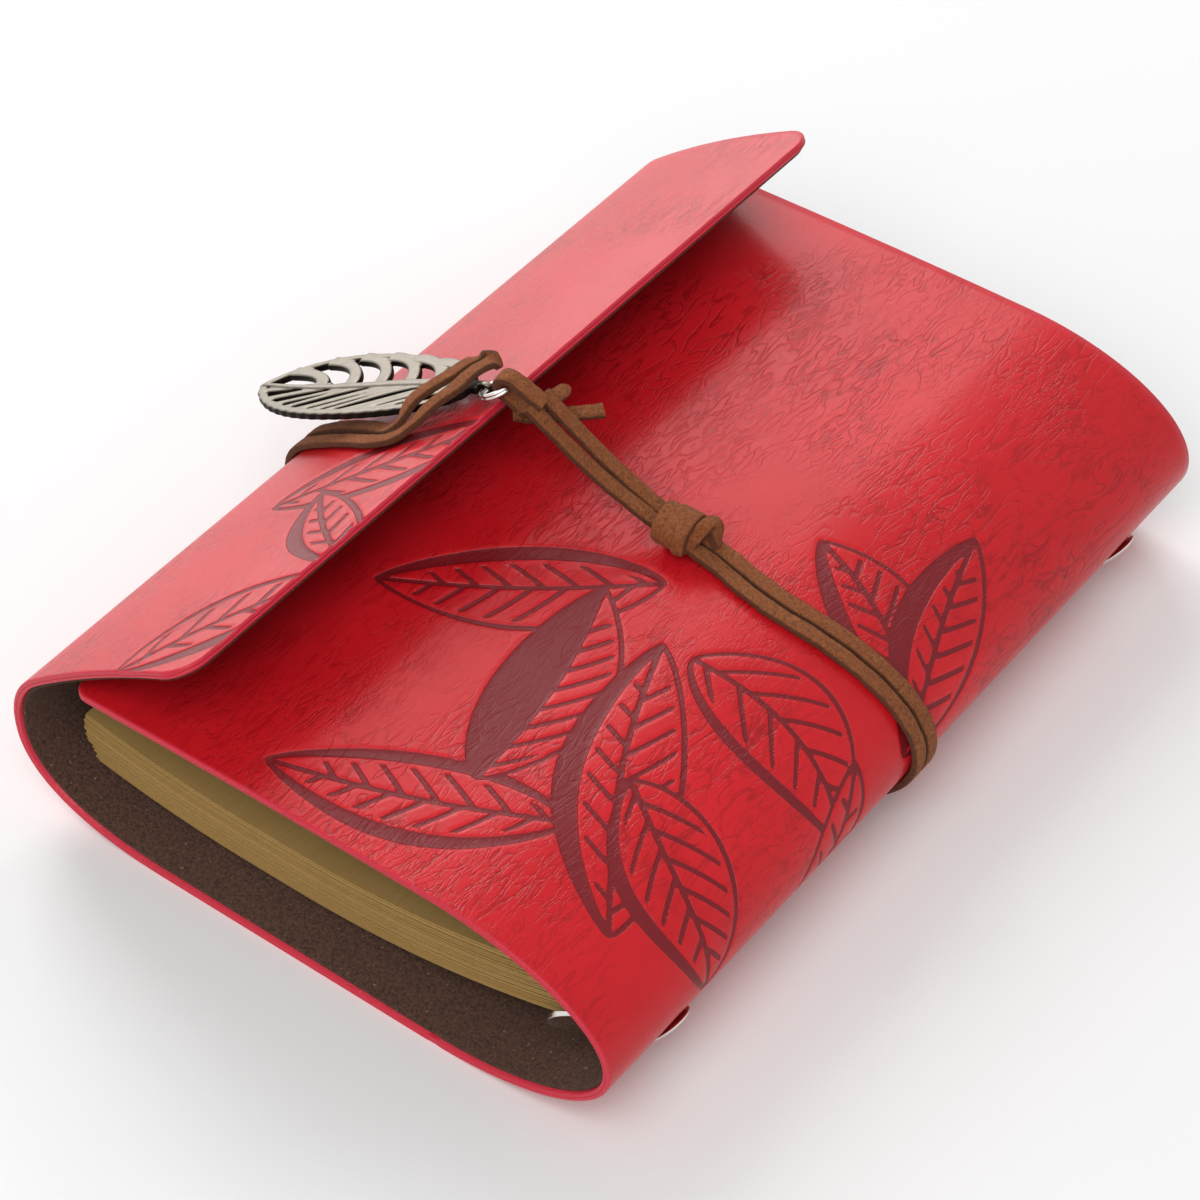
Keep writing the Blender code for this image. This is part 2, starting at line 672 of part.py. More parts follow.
# Closing loop on the flap, one side then back down the other: along the flap, y, height, in mm
LOOP_ROUTE = [
    (0.6, -10.75, 1.0), (20, -13.0, 1.0), (33, -15.6, 1.0), (40.6, -17.5, 1.0), (44.8, -17.6, 2.4),
    (47.3, -15.0, 5.1), (49.4, -10.8, 5.7), (50.7, -7, 5.6), (51.1, -3.6, 5.5), (51.3, -1.2, 4.9),
    (51.7, 0.6, 4.0), (53.0, 1.8, 3.4), (54.3, 0.6, 3.6), (54.6, -1.2, 4.2), (54.6, -3.8, 4.95),
    (54.5, -7, 5.15), (54.1, -10.6, 4.75), (52.0, -14.8, 4.2), (49.6, -18.0, 2.7), (45.6, -20.4, 1.2),
    (40.0, -21.2, 1.0), (30, -19.4, 1.0), (15, -16.7, 1.0), (0.6, -14.25, 1.0),
]
# Middle of the loop's turn, along the flap and in y; and the two y between which the lace tips on edge
LOOP_TURN = (53.0, 0.2)
LOOP_TIPS = (-2.2, 0.8)
# Cut ends of the strap: along its pull from the ring, y and height from the ring's rim, in mm
TAIL_ROUTES = {
    "short": [(5.8, -1, -1.4), (6.1, 4, -1.4), (6.6, 9.4, -2.2)],
    "long": [(5.8, -1, -3.2), (8.2, 3.4, -3.4), (13.8, 10.2, -1.8)],
}


def build_strap(suede, cover_pivot, flap_pivot):
    """Strap stretches on the cover, round the spine and back, on the flap, and its knots and tails."""
    lift = FIT + STRAP_THICK / 2
    front, front_normal = stretch("front")
    spine, spine_normal = stretch("spine")
    back, back_normal = stretch("back")

    root_path = np.concatenate([spine, back[1:]])
    root_normal = np.concatenate([spine_normal, back_normal[1:]])
    root_path, root_normal = trim_ends(root_path, root_normal, FIT / 2, FIT / 2)
    knot_end = KNOT_X + KNOT_LENGTH / 2 + FIT
    on_front = front[:, 0] > knot_end + KNOT_CLEAR
    tail_path, tail_normal = trim_ends(front[on_front], front_normal[on_front], 0, FIT / 2)
    knot_z = BODY_HEIGHT + FIT + KNOT_HEIGHT / 2

    eye, down, _, up = leaf_frame()
    rim = np.array(eye - up * EYE_DROP + ring_direction(down, up) * 2 * JUMP_RADIUS)
    knot = np.array([KNOT_X, STRAP_Y_SPINE, knot_z])
    pull = (knot - rim) / np.linalg.norm(knot - rim)
    rise = np.array([-pull[2], 0, pull[0]])

    def by_ring(along, y, height):
        return rim + pull * along + rise * height + np.array([0, y, 0])

    from_hitch = by_ring(HITCH_LEG + HITCH_GAP, 0, HITCH_BEND)
    to_knot = knot - np.array([KNOT_LENGTH / 2 + FIT, 0, 0])

    for label, side in (("near", -1), ("far", 1)):
        shift = side * STRAND_OFFSET
        y = strap_y(root_path[:, 0]) + shift
        add_mesh(f"strap_under_{label}", *strap_solid(*on_cover(root_path, root_normal, y, lift)), suede)

        settled = np.clip((tail_path[:, 0] - knot_end) / STRAP_SETTLE, 0, 1)
        settled = settled * settled * (3 - 2 * settled)
        y = STRAP_Y_SPINE + (strap_y(tail_path[:, 0]) - STRAP_Y_SPINE) * settled + shift
        points, normals = on_cover(tail_path, tail_normal, y, lift)
        start = (knot_end, STRAP_Y_SPINE + shift, BODY_HEIGHT + FIT + STRAP_THICK)
        solid = strap_solid([start] + points, [(0, 0, 1)] + normals)
        add_mesh(f"strap_spine_side_{label}", *solid, suede, cover_pivot)

        sag = np.array([0, 0, -STRAP_SAG])
        route = [from_hitch, (from_hitch + to_knot) / 2 + sag, to_knot]
        points = smooth([np.array(p) + np.array([0, shift, 0]) for p in route], 12)
        add_mesh(f"strap_flap_side_{label}", *strap_solid(points, [rise] * 12), suede, flap_pivot)

    halves = (KNOT_LENGTH / 2, KNOT_WIDTH / 2, KNOT_HEIGHT / 2)
    add_mesh("strap_knot", *barrel(knot, halves, KNOT_WAIST), suede, cover_pivot)
    bend = np.linspace(-90 * DEG, -270 * DEG, 13)
    line = [(HITCH_LEG, -HITCH_BEND)] + [(HITCH_BEND * math.cos(t), HITCH_BEND * math.sin(t)) for t in bend]
    line.append((HITCH_LEG, HITCH_BEND))
    points = [by_ring(along, 0, height) for along, height in line]
    facing = [-rise] + [pull * math.cos(t) + rise * math.sin(t) for t in bend] + [rise]
    add_mesh("strap_hitch", *strap_solid(points, facing, HITCH_WIDTH, HITCH_THICK), suede, flap_pivot)

    for label, route in TAIL_ROUTES.items():
        points = smooth([by_ring(*place) for place in np.array(route) * MM], 7)
        solid = strap_solid(points, [rise] * 7, TAIL_WIDTH)
        add_mesh(f"strap_tail_{label}", *solid, suede, flap_pivot)

    route = smooth(np.array(LOOP_ROUTE) * MM, 96)
    placed = [flap_point(s, y, h) for s, y, h in route]
    facing = [loop_facing(s, y, normal) for (s, y, _), (_, normal) in zip(route, placed)]
    solid = strap_solid([p for p, _ in placed], facing)
    add_mesh("strap_loop", *solid, suede, flap_pivot)


def loop_facing(s, y, normal):
    """The lace lies flat on the flap, and tips on edge round the turn, where its face looks outwards."""
    along = np.array([normal[2], 0, -normal[0]])
    outwards = along * (s - LOOP_TURN[0] * MM) + np.array([0, 1, 0]) * (y - LOOP_TURN[1] * MM)
    share = np.clip((y / MM - LOOP_TIPS[0]) / (LOOP_TIPS[1] - LOOP_TIPS[0]), 0, 1)
    tip = math.pi / 2 * share * share * (3 - 2 * share)
    return normal * math.cos(tip) + outwards / np.linalg.norm(outwards) * math.sin(tip)


def barrel(centre, halves, waist, rings=9, sides=14):
    """Rounded barrel along the x axis, with a waist of the given share at the middle."""
    verts = [np.array(centre) - (halves[0], 0, 0)]
    for i in range(1, rings):
        u = -1 + 2 * i / rings
        girth = (1 - u ** 4) ** 0.5 * (waist + (1 - waist) * min(1, abs(2 * u)))
        for k in range(sides):
            angle = 2 * math.pi * k / sides
            across, up = math.cos(angle) * girth, math.sin(angle) * girth
            verts.append(np.array(centre) + np.array((u, across, up)) * halves)
    verts.append(np.array(centre) + (halves[0], 0, 0))
    faces = []
    for k in range(sides):
        n = (k + 1) % sides
        faces.append((0, 1 + k, 1 + n))
        for r in range(rings - 2):
            a, b = 1 + r * sides, 1 + (r + 1) * sides
            faces.append((a + k, b + k, b + n, a + n))
        last = 1 + (rings - 2) * sides
        faces.append((last + n, last + k, len(verts) - 1))
    return verts, faces


# Leaf charm


def leaf_frame():
    """Eye of the leaf, and unit vectors down the leaf, across it and up from the flap."""
    point, normal = flap_point(LEAF_REST_S, LEAF_Y, LEAF_CLEAR + LEAF_THICK / 2)
    across = Vector((0, 1, 0))
    up = Matrix.Rotation(LEAF_PITCH, 3, across) @ Vector(normal)
    down = Vector((-up[2], 0, up[0]))
    eye = Vector(point) - down * (LEAF_EYE_S - LEAF_REST_S)
    skew = Matrix.Rotation(LEAF_SKEW, 3, up)
    return eye, skew @ down, skew @ across, up


def ring_direction(down, up):
    """Way from the eye to the far side of the ring, tilted a little off the leaf's plane."""
    return up * math.sin(JUMP_TILT) - down * math.cos(JUMP_TILT)


def leaf_half_width(a):
    """Half width of the leaf at a distance from its eye: a stem, then a pointed oval."""
    share = np.clip((a - LEAF_STEM) / (LEAF_LENGTH - LEAF_STEM), 0, 1)
    oval = np.abs(np.sin(math.pi * share ** LEAF_TAPER)) ** LEAF_FULLNESS
    return STEM_HALF * np.sqrt(np.clip(1 - share, 0, 1)) + (LEAF_HALF_WIDTH - STEM_HALF) * oval


def leaf_slits():
    """Openings between the ribs: wide on the far half, narrow on the near half."""
    slits = []
    halves = (
        (1, FAR_SLITS, FAR_SLIT_WIDTH, FAR_SLIT_SWEEP),
        (-1, NEAR_SLITS, NEAR_SLIT_WIDTH, NEAR_SLIT_SWEEP),
    )
    for side, count, width, sweep in halves:
        for i in range(count):
            root_a = LEAF_STEM + SLIT_START + SLIT_SPAN * i / count
            share = np.linspace(0, 1, 6)
            tip_a = root_a + sweep
            reach = leaf_half_width(tip_a) - LEAF_RIM
            line_a = root_a + (tip_a - root_a) * share
            line_b = MIDRIB + (reach - MIDRIB) * share ** 0.8
            half = width / 2 * np.sin(math.pi * (0.1 + 0.8 * share)) ** 0.7
            upper = [(a + w, side * b) for a, b, w in zip(line_a, line_b, half)]
            lower = [(a - w, side * b) for a, b, w in zip(line_a, line_b, half)]
            if reach > 2 * MIDRIB:
                slits.append(upper + lower[::-1])
    return slits


def build_leaf(pewter, chrome, leaf_pivot, flap_pivot):
    """Openwork leaf with an upright eye on its stem, and the ring through the eye."""
    eye, down, across, up = leaf_frame()

    def on_leaf(a, b, h):
        return tuple(eye + down * a + across * b + up * h)

    stem_end = (EYE_HOLE + EYE_OUTER) / 2
    blade = LEAF_STEM + (LEAF_LENGTH - LEAF_STEM) * np.linspace(0, 1, 25) ** 1.5
    a = np.concatenate([[stem_end], blade])
    width = leaf_half_width(a)
    outline = [(p, w) for p, w in zip(a[:-1], width[:-1])] + [(LEAF_LENGTH, 0)]
    outline += [(p, -w) for p, w in zip(a[-2::-1], width[-2::-1])]
    plate = prism(outline, on_leaf, -LEAF_THICK / 2, LEAF_THICK / 2)
    leaf = add_mesh("leaf_charm", *plate, pewter, leaf_pivot)
    cutters = [prism(slit, on_leaf, -LEAF_THICK, LEAF_THICK) for slit in leaf_slits()]
    cut(leaf, "leaf_slits", *joined(cutters))
    eye_solid = washer(EYE_OUTER, EYE_HOLE, EYE_WIDTH, lambda u, v, w: on_leaf(u, w, v - EYE_DROP))
    eye_ring = add_mesh("leaf_eye", *eye_solid, pewter)
    eye_ring.hide_render = True
    eye_ring.display_type = "WIRE"
    union = leaf.modifiers.new("eye", "BOOLEAN")
    union.operation = "UNION"
    union.solver = "EXACT"
    union.object = eye_ring

    out = ring_direction(down, up)
    centre = Vector(on_leaf(0, 0, -EYE_DROP)) + out * JUMP_RADIUS
    ring = torus(centre, out, across, JUMP_RADIUS, JUMP_WIRE)
    add_mesh("jump_ring", *ring, chrome, flap_pivot)


def washer(outer, inner, width, place, sides=16):
    """Closed ring of square section round the w axis."""
    verts = []
    for radius, w in ((outer, -width / 2), (outer, width / 2), (inner, width / 2), (inner, -width / 2)):
        for k in range(sides):
            angle = 2 * math.pi * k / sides
            verts.append(place(radius * math.cos(angle), radius * math.sin(angle), w))
    faces = []
    for band in range(4):
        after = (band + 1) % 4
        for k in range(sides):
            n = (k + 1) % sides
            faces.append((band * sides + k, band * sides + n, after * sides + n, after * sides + k))
    return verts, faces


def torus(centre, first, second, radius, wire, turns=20, sides=8):
    """Closed round ring in the plane of two unit vectors."""
    axis = first.cross(second)
    verts = []
    for i in range(turns):
        angle = 2 * math.pi * i / turns
        out = first * math.cos(angle) + second * math.sin(angle)
        for k in range(sides):
            round_it = 2 * math.pi * k / sides
            from_axis = radius + wire * math.cos(round_it)
            verts.append(tuple(centre + out * from_axis + axis * wire * math.sin(round_it)))
    faces = []
    for i in range(turns):
        a, b = i * sides, (i + 1) % turns * sides
        for k in range(sides):
            n = (k + 1) % sides
            faces.append((a + k, b + k, b + n, a + n))
    return verts, faces


def main():
    """Build the whole journal."""
    clear_scene()
    red = make_material("red_leatherette", RED, 0.32)
    brown = make_material("flocked_lining", LINING_BROWN, 0.95)
    kraft = make_material("kraft_paper", KRAFT, 0.9)
    chrome = make_material("nickel_plate", CHROME, 0.18, 1.0)
    pewter = make_material("antique_pewter", PEWTER, 0.4, 1.0)
    suede = make_material("brown_suede", SUEDE, 0.95)

    front, front_normal = stretch("front")
    hinge = front[-1] + front_normal[-1] * HINGE_OFFSET
    cover_pivot = add_pivot("cover_hinge", (hinge[0], 0, hinge[1]))
    flap_pivot = add_pivot("flap_hinge", (FOLD_X - HINGE_OFFSET, 0, FOLD_HEIGHT))
    ring_pivot = add_pivot("rail_hinge", mech(0, RAIL_H + RAIL_THICK / 2, 0))
    lever_pivots = {"near": add_pivot("near_lever_hinge", mech(0, LEVER_H, -LEVER_PIVOT_Y)),
                    "far": add_pivot("far_lever_hinge", mech(0, LEVER_H, LEVER_PIVOT_Y))}
    page_pivot = add_pivot("page_hinge", (RING_CENTRE[0], 0, RING_CENTRE[1]))
    turning = range(PAGE_GROUPS - TURNING_GROUPS, PAGE_GROUPS)
    leaf_pivot = add_pivot("leaf_hinge", leaf_frame()[0])

    panels = build_cover(red, brown, cover_pivot, flap_pivot)
    build_mechanism(chrome, ring_pivot, lever_pivots, panels)
    build_pages(kraft, {group: page_pivot for group in turning})
    build_strap(suede, cover_pivot, flap_pivot)
    build_leaf(pewter, chrome, leaf_pivot, flap_pivot)


main()
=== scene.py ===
"""Looks of a refillable ring journal: red wrap cover, kraft leaves on rings, suede strap, leaf charm.

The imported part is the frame: X from the flap's fold to the spine, Y along the spine, Z up, in metres.
"""
import math

import bmesh
import bpy
import numpy as np
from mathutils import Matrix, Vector


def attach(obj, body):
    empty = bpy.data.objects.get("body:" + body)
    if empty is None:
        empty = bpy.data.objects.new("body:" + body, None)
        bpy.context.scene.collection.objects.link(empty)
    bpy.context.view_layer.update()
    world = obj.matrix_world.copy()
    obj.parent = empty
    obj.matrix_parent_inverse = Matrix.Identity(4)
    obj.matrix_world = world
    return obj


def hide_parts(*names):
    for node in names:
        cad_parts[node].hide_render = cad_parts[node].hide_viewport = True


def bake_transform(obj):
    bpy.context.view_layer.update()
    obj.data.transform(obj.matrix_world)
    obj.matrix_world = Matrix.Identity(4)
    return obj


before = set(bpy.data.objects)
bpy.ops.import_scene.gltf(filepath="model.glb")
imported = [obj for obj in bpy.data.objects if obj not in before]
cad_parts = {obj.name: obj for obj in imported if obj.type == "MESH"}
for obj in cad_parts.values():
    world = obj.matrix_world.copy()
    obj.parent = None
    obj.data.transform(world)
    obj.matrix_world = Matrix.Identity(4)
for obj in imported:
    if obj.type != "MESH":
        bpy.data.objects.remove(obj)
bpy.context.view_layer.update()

# Wrap cover: one soft sheet of red faux leather that makes the front, the spine, the back and the flap.
# It is cut from a roll, debossed with leaves by a hot plate, and its cut edge shows the pressed layers.
# Here it is two lengths that meet under the book, one round the spine and one round the fold.
MM = 0.001
COVER_HALF = 90 * MM
BODY_HEIGHT = 38.6 * MM
COVER_EDGE_X, COVER_DROOP = -49 * MM, 1.6 * MM
SPINE_X, SPINE_REACH = 28 * MM, 37 * MM
FLAT_X, FOLD_X, FOLD_HEIGHT, FOLD_FULLNESS = -31 * MM, -65 * MM, 20 * MM, 2.4
FOLD_RADIUS, FOLD_TURN, FLAP_REACH, FLAP_BOW = 17.5 * MM, math.radians(50), 44 * MM, 190 * MM
COVER_CORNER, FLAP_CORNER = 3 * MM, 6 * MM
LEATHER, LINING, FIT = 1.5 * MM, 0.6 * MM, 0.1 * MM
STRAP_WIDTH, STRAP_THICK, STRAP_LIFT, STRAP_GAP = 3.0 * MM, 1.4 * MM, 0.2 * MM, 0.3 * MM
STRAP_SPINE_Y, STRAP_SLANT, STRAND_OFFSET = -1 * MM, 11.5 * MM, 1.75 * MM
CHANNEL_HALF, CHANNEL_EDGE, FACES_DOWN = 5 * MM, 9 * MM, -0.5


def front_line(count=500):
    """Outside of front and spine as (x, z): a parabola's droop, then a half ellipse from top to bottom."""
    share = np.linspace(1, 0, count)[:-1]
    flat = np.stack([SPINE_X + (COVER_EDGE_X - SPINE_X) * share, BODY_HEIGHT - COVER_DROOP * share ** 2], 1)
    turn = np.linspace(math.pi / 2, -math.pi / 2, count)
    half = BODY_HEIGHT / 2
    spine = np.stack([SPINE_X + SPINE_REACH * np.cos(turn), half + half * np.sin(turn)], 1)
    return np.concatenate([flat, spine])


def back_line(count=500):
    """Outside of back and flap as (x, z): a flat, a quarter of a superellipse, a tight arc, a wide arc."""
    flat = np.stack([np.linspace(SPINE_X, FLAT_X, count), np.zeros(count)], 1)
    turn = np.linspace(0, math.pi / 2, count)[1:]
    power = 2 / FOLD_FULLNESS
    rise = np.stack([FLAT_X + (FOLD_X - FLAT_X) * np.sin(turn) ** power,
                     FOLD_HEIGHT * (1 - np.abs(np.cos(turn)) ** power)], 1)
    turn = np.linspace(0, FOLD_TURN, count)[1:]
    fold = np.stack([FOLD_X + FOLD_RADIUS * (1 - np.cos(turn)), FOLD_HEIGHT + FOLD_RADIUS * np.sin(turn)], 1)
    heading = math.pi / 2 - FOLD_TURN
    bow = np.linspace(0, FLAP_REACH / FLAP_BOW, count)[1:]
    ahead, aside = FLAP_BOW * np.sin(bow), FLAP_BOW * (1 - np.cos(bow))
    flap = fold[-1] + np.stack([ahead * math.cos(heading) + aside * math.sin(heading),
                                ahead * math.sin(heading) - aside * math.cos(heading)], 1)
    return np.concatenate([flat, rise, fold, flap])


def unit(vectors):
    """Vectors divided by their own lengths."""
    return vectors / np.linalg.norm(vectors, axis=-1, keepdims=True)


def lengths(path):
    """Distance along a path at each of its points."""
    return np.concatenate([[0], np.cumsum(np.linalg.norm(np.diff(path, axis=0), axis=1))])


def at(path, stations, values=None):
    """Points of a path, or values given at its points, at distances along it, by straight interpolation."""
    along = lengths(path)
    columns = (path if values is None else values).T
    return np.stack([np.interp(stations, along, column) for column in columns], -1)


def with_normals(line, stations):
    """Points of a line in the x-z plane at distances along it, with unit normals on the left of its way."""
    tangent = unit(np.gradient(line, axis=0))
    normals = np.stack([-tangent[:, 1], tangent[:, 0]], 1)
    return at(line, stations), unit(at(line, stations, normals))


def in_space(flat, y):
    """World points or directions from their x and z and a y for each."""
    return np.stack([flat[..., 0], np.broadcast_to(y, flat.shape[:-1]), flat[..., 1]], -1)


def ease(low, high, value):
    """Smooth step from 0 at low to 1 at high."""
    t = np.clip((value - low) / (high - low), 0, 1)
    return t * t * (3 - 2 * t)


def strap_y(x):
    """The strap runs askew under the book: y falls evenly from the spine to the fold."""
    share = np.clip((SPINE_X + SPINE_REACH - x) / (SPINE_X + SPINE_REACH - FOLD_X), 0, 1)
    return STRAP_SPINE_Y - STRAP_SLANT * share


def strap_press(points, normals):
    """How far the strap presses the underside in, so that it stays clear of the table."""
    need = STRAP_THICK + STRAP_GAP + STRAP_LIFT - points[:, 1]
    return np.where(normals[:, 1] < FACES_DOWN, np.clip(need, 0, None), 0)


# The debossed ornament is worked out in mm: widths of its lines and the room that they keep
RIB_HALF, RIB_STOP, BORDER_LEAST, BORDER_ENDS, LEAF_ROOM = 0.5, 0.4, 0.85, 0.3, 0.3
VEIN_HALF, VEIN_STOP, VEIN_LEAN, VEIN_CURVE = 0.46, 0.9, 0.9, 0.02
# Shares of a leaf's length: where its veins start, how far they reach, and what is divided among them
VEIN_START, VEIN_REACH, VEIN_ROOM = 0.07, 0.74, 0.8
# Shares of the veins' spacing: the shift between the two sides, and the width left square to their lean
VEIN_SHIFT, VEIN_SQUARE = 0.35, 0.74
NO_GROOVE, STEEPEST = 9.0, 1.5


def leaf_press(u, y, base, tip, half, lean, borders, fill, veins):
    """Signed distance in mm to one debossed leaf's grooves (below 0 in them), and to its outline.

    On axes p along the midrib and q across it, the outline is q = half * sin(pi t^0.9)^0.75 with t = p / L.
    A border of two widths follows it inside, and side veins repeat along p - 0.9 |q| - 0.02 q^2.
    """
    def outline(t):
        return half * np.sin(math.pi * t ** 0.9) ** 0.75

    base, tip = np.array(base, float), np.array(tip, float)
    length = np.linalg.norm(tip - base)
    ahead = (tip - base) / length
    p = (u - base[0]) * ahead[0] + (y - base[1]) * ahead[1]
    t = np.clip(p / length, 0, 1)
    q = (u - base[0]) * -ahead[1] + (y - base[1]) * ahead[0] - lean * np.sin(math.pi * t)
    steps = np.linspace(0, 1, 400)
    slope = np.gradient(outline(steps), length * steps[1])
    slant = np.hypot(1, np.clip(np.interp(t, steps, slope), -STEEPEST, STEEPEST))
    edge = np.maximum((np.abs(q) - outline(t)) / slant, np.maximum(-p, p - length))
    border = np.where(q > 0, borders[1], borders[0])
    border = np.maximum(border * (BORDER_ENDS + (1 - BORDER_ENDS) * np.sin(math.pi * t)), BORDER_LEAST)
    band = np.maximum(edge, -border - edge)
    rib = np.maximum(np.abs(q) - RIB_HALF, edge + RIB_STOP)
    spacing = VEIN_ROOM * length / veins
    phase = p - VEIN_LEAN * np.abs(q) - VEIN_CURVE * q ** 2 - VEIN_START * length
    phase = phase - np.where(q > 0, VEIN_SHIFT * spacing, 0)
    ripple = np.abs((phase + spacing / 2) % spacing - spacing / 2) * VEIN_SQUARE
    last = (math.floor(VEIN_REACH * length / spacing) + 0.5) * spacing
    inside = np.maximum(-phase - spacing / 2, phase - last)
    vein = np.maximum(np.maximum(ripple - VEIN_HALF, inside), edge + border + VEIN_STOP)
    groove = np.minimum(np.minimum(band, rib), np.where(q * fill > 0, NO_GROOVE, vein))
    if fill:
        groove = np.minimum(groove, np.maximum(edge, -q * fill))
    return groove, edge


def ornament(u, y, leaves):
    """Leaves laid over each other: each hides the grooves of those before it inside its outline."""
    press = np.full(u.shape, NO_GROOVE)
    for leaf in leaves:
        groove, edge = leaf_press(u, y, *leaf)
        press = np.minimum(np.maximum(press, -edge - LEAF_ROOM), groove)
    return press


# Own layout, in mm from the cover's free edge, or from where the flap leaves the fold, and along the spine:
# base, tip, half width, bend of the midrib, widths of the two borders, filled side, pairs of veins
FRONT_LEAVES = [
    ((66, -10), (24, -39), 10.5, 2.0, (3.4, 1.2), 0, 7),
    ((116, -2), (81, 15), 9.5, -2.0, (1.0, 3.6), 0, 6),
    ((80, -22), (122, -27), 11.5, 2.5, (2.2, 1.0), 0, 5),
    ((86, -64), (37, -83), 10, 2.0, (2.6, 3.0), 0, 7),
    ((68, -66), (58, -17), 10.5, -2.5, (1.0, 1.6), 1, 8),
    ((120, -6), (101, 36), 9, 2.0, (1.0, 4.6), 0, 7),
    ((104, -76), (74, -22), 11, 3.0, (1.0, 4.6), 0, 8),
    ((88, -50), (126, -64), 11, -2.5, (2.8, 1.0), 0, 6),
    ((142, -40), (113, -16), 7, 1.5, (1.4, 0.9), 0, 5),
]
FLAP_LEAVES = [
    ((30, -40), (66, -12), 9.5, -1.5, (2.4, 3.4), 0, 6),
    ((66, -56), (40, -36), 7, 1.5, (1.2, 3.0), 0, 5),
    ((42, -91), (70, -58), 8.5, 1.5, (3.2, 1.4), 0, 5),
]
DEBOSS, GROOVE_WALL = 0.22 * MM, (0.3, -0.25)
# Rim of a cut sheet: share of the thickness, and how far the pressed layers stand out, in mm
RIM = [(0.04, 0.10), (0.14, 0.20), (0.34, 0.24), (0.48, 0.18), (0.54, 0.05), (0.60, 0.18), (0.76, 0.23),
       (0.92, 0.12)]
# The cut edge's own tint starts with this share where the rim leaves the face
RIM_TINT = 0.6
# The inner grid keeps one in nine of the outer grid's columns
INNER_STEP = 9


def quads(index):
    """Four-sided faces between the neighbouring rows and columns of a grid of point numbers."""
    return np.stack([index[:-1, :-1], index[:-1, 1:], index[1:, 1:], index[1:, :-1]], -1).reshape(-1, 4)


def ring_quads(index):
    """Four-sided faces of a grid whose rows are closed rings."""
    return quads(np.concatenate([index, index[:, :1]], 1))


def new_piece(name, verts, faces, material, sharp=math.radians(50)):
    """A mesh object at the origin from points and faces, with its faces turned outwards."""
    mesh = bpy.data.meshes.new(name)
    mesh.from_pydata(np.asarray(verts, float).tolist(), [], faces)
    build = bmesh.new()
    build.from_mesh(mesh)
    bmesh.ops.recalc_face_normals(build, faces=build.faces)
    build.to_mesh(mesh)
    build.free()
    mesh.shade_smooth()
    mesh.set_sharp_from_angle(angle=sharp)
    mesh.materials.append(material)
    piece = bpy.data.objects.new(name, mesh)
    bpy.context.scene.collection.objects.link(piece)
    return piece


def mark(mesh, key, values):
    """Give each point of a mesh a value that its material reads."""
    mesh.attributes.new(key, "FLOAT", "POINT").data.foreach_set("value", values.astype(np.float32))


def sheet_piece(name, line, stations, across, half, depths, rims, material, leaves=(), leaves_from=0):
    """A closed sheet along a line: an outer grid, a rounded rim of several rings, and a coarser inner grid.

    A point is line(s) - normal(s) * depth at y = v * half(s). The outer grid sinks by DEBOSS in the leaves'
    grooves, whose layout starts at leaves_from, and rims says whether the first and last edges bulge.
    """
    points, normals = with_normals(line, stations)
    rows, columns = len(stations), len(across)
    y = half[:, None] * across
    channel = 1 - ease(CHANNEL_HALF, CHANNEL_EDGE, np.abs(y - strap_y(points[:, :1])))
    press = strap_press(points, normals)[:, None] * channel
    plan = np.stack([np.broadcast_to(stations[:, None], y.shape), y], 2)
    groove = ornament((plan[:, :, 0] - leaves_from) / MM, y / MM, leaves)
    relief = DEBOSS * ease(*GROOVE_WALL, groove)
    outer, inner = [in_space(points[:, None] - normals[:, None] * depth[:, :, None], y)
                    for depth in (depths[0] + press + relief, depths[1] + press)]

    ring_i = np.concatenate([np.zeros(columns, int), np.arange(1, rows), np.full(columns - 1, rows - 1),
                             np.arange(rows - 2, 0, -1)])
    ring_j = np.concatenate([np.arange(columns), np.full(rows - 1, columns - 1),
                             np.arange(columns - 2, -1, -1), np.zeros(rows - 2, int)])
    flat = plan[ring_i, ring_j]
    turn = unit(np.roll(flat, -1, 0) - np.roll(flat, 1, 0))
    tangent = np.stack([normals[:, 1], -normals[:, 0]], 1)[ring_i]
    away = in_space(tangent * -turn[:, 1:], turn[:, 0])
    bulge = np.ones(len(ring_i))
    bulge[(ring_i == 0) & (not rims[0])] = 0
    bulge[(ring_i == rows - 1) & (not rims[1])] = 0
    top, bottom = outer[ring_i, ring_j], inner[ring_i, ring_j]
    rings = [top + (bottom - top) * a + away * (b * MM * bulge)[:, None] for a, b in RIM] + [bottom]

    picks = np.unique(np.append(np.arange(0, columns, INNER_STEP), columns - 1))
    core = np.ix_(np.arange(1, rows - 1), picks[1:-1])
    verts = np.concatenate([outer.reshape(-1, 3)] + rings + [inner[core].reshape(-1, 3)])
    count, edge = rows * columns, len(ring_i)
    core_start = count + len(rings) * edge
    at_outer = np.arange(count).reshape(rows, columns)
    at_rings = np.concatenate([at_outer[ring_i, ring_j], np.arange(count, core_start)]).reshape(-1, edge)
    at_inner = np.full((rows, columns), -1)
    at_inner[ring_i, ring_j] = at_rings[-1]
    at_inner[core] = np.arange(core_start, len(verts)).reshape(rows - 2, -1)
    inner_quads = quads(at_inner[1:-1, picks])
    faces = np.concatenate([quads(at_outer), ring_quads(at_rings)[:, ::-1], inner_quads[:, ::-1]]).tolist()
    for first, second in zip(picks[:-1], picks[1:]):
        faces.append(at_inner[0, first:second + 1][::-1].tolist() + [at_inner[1, first], at_inner[1, second]])
        faces.append(at_inner[-1, first:second + 1].tolist() + [at_inner[-2, second], at_inner[-2, first]])
    piece = new_piece(name, verts, faces, material)
    plain = np.full(len(verts) - count, NO_GROOVE)
    cut = np.zeros(len(verts))
    cut[count:] = 1
    cut[at_rings[0]] = RIM_TINT * bulge
    mark(piece.data, "groove_mm", np.concatenate([groove.ravel(), plain]))
    mark(piece.data, "cut_edge", cut)
    return piece


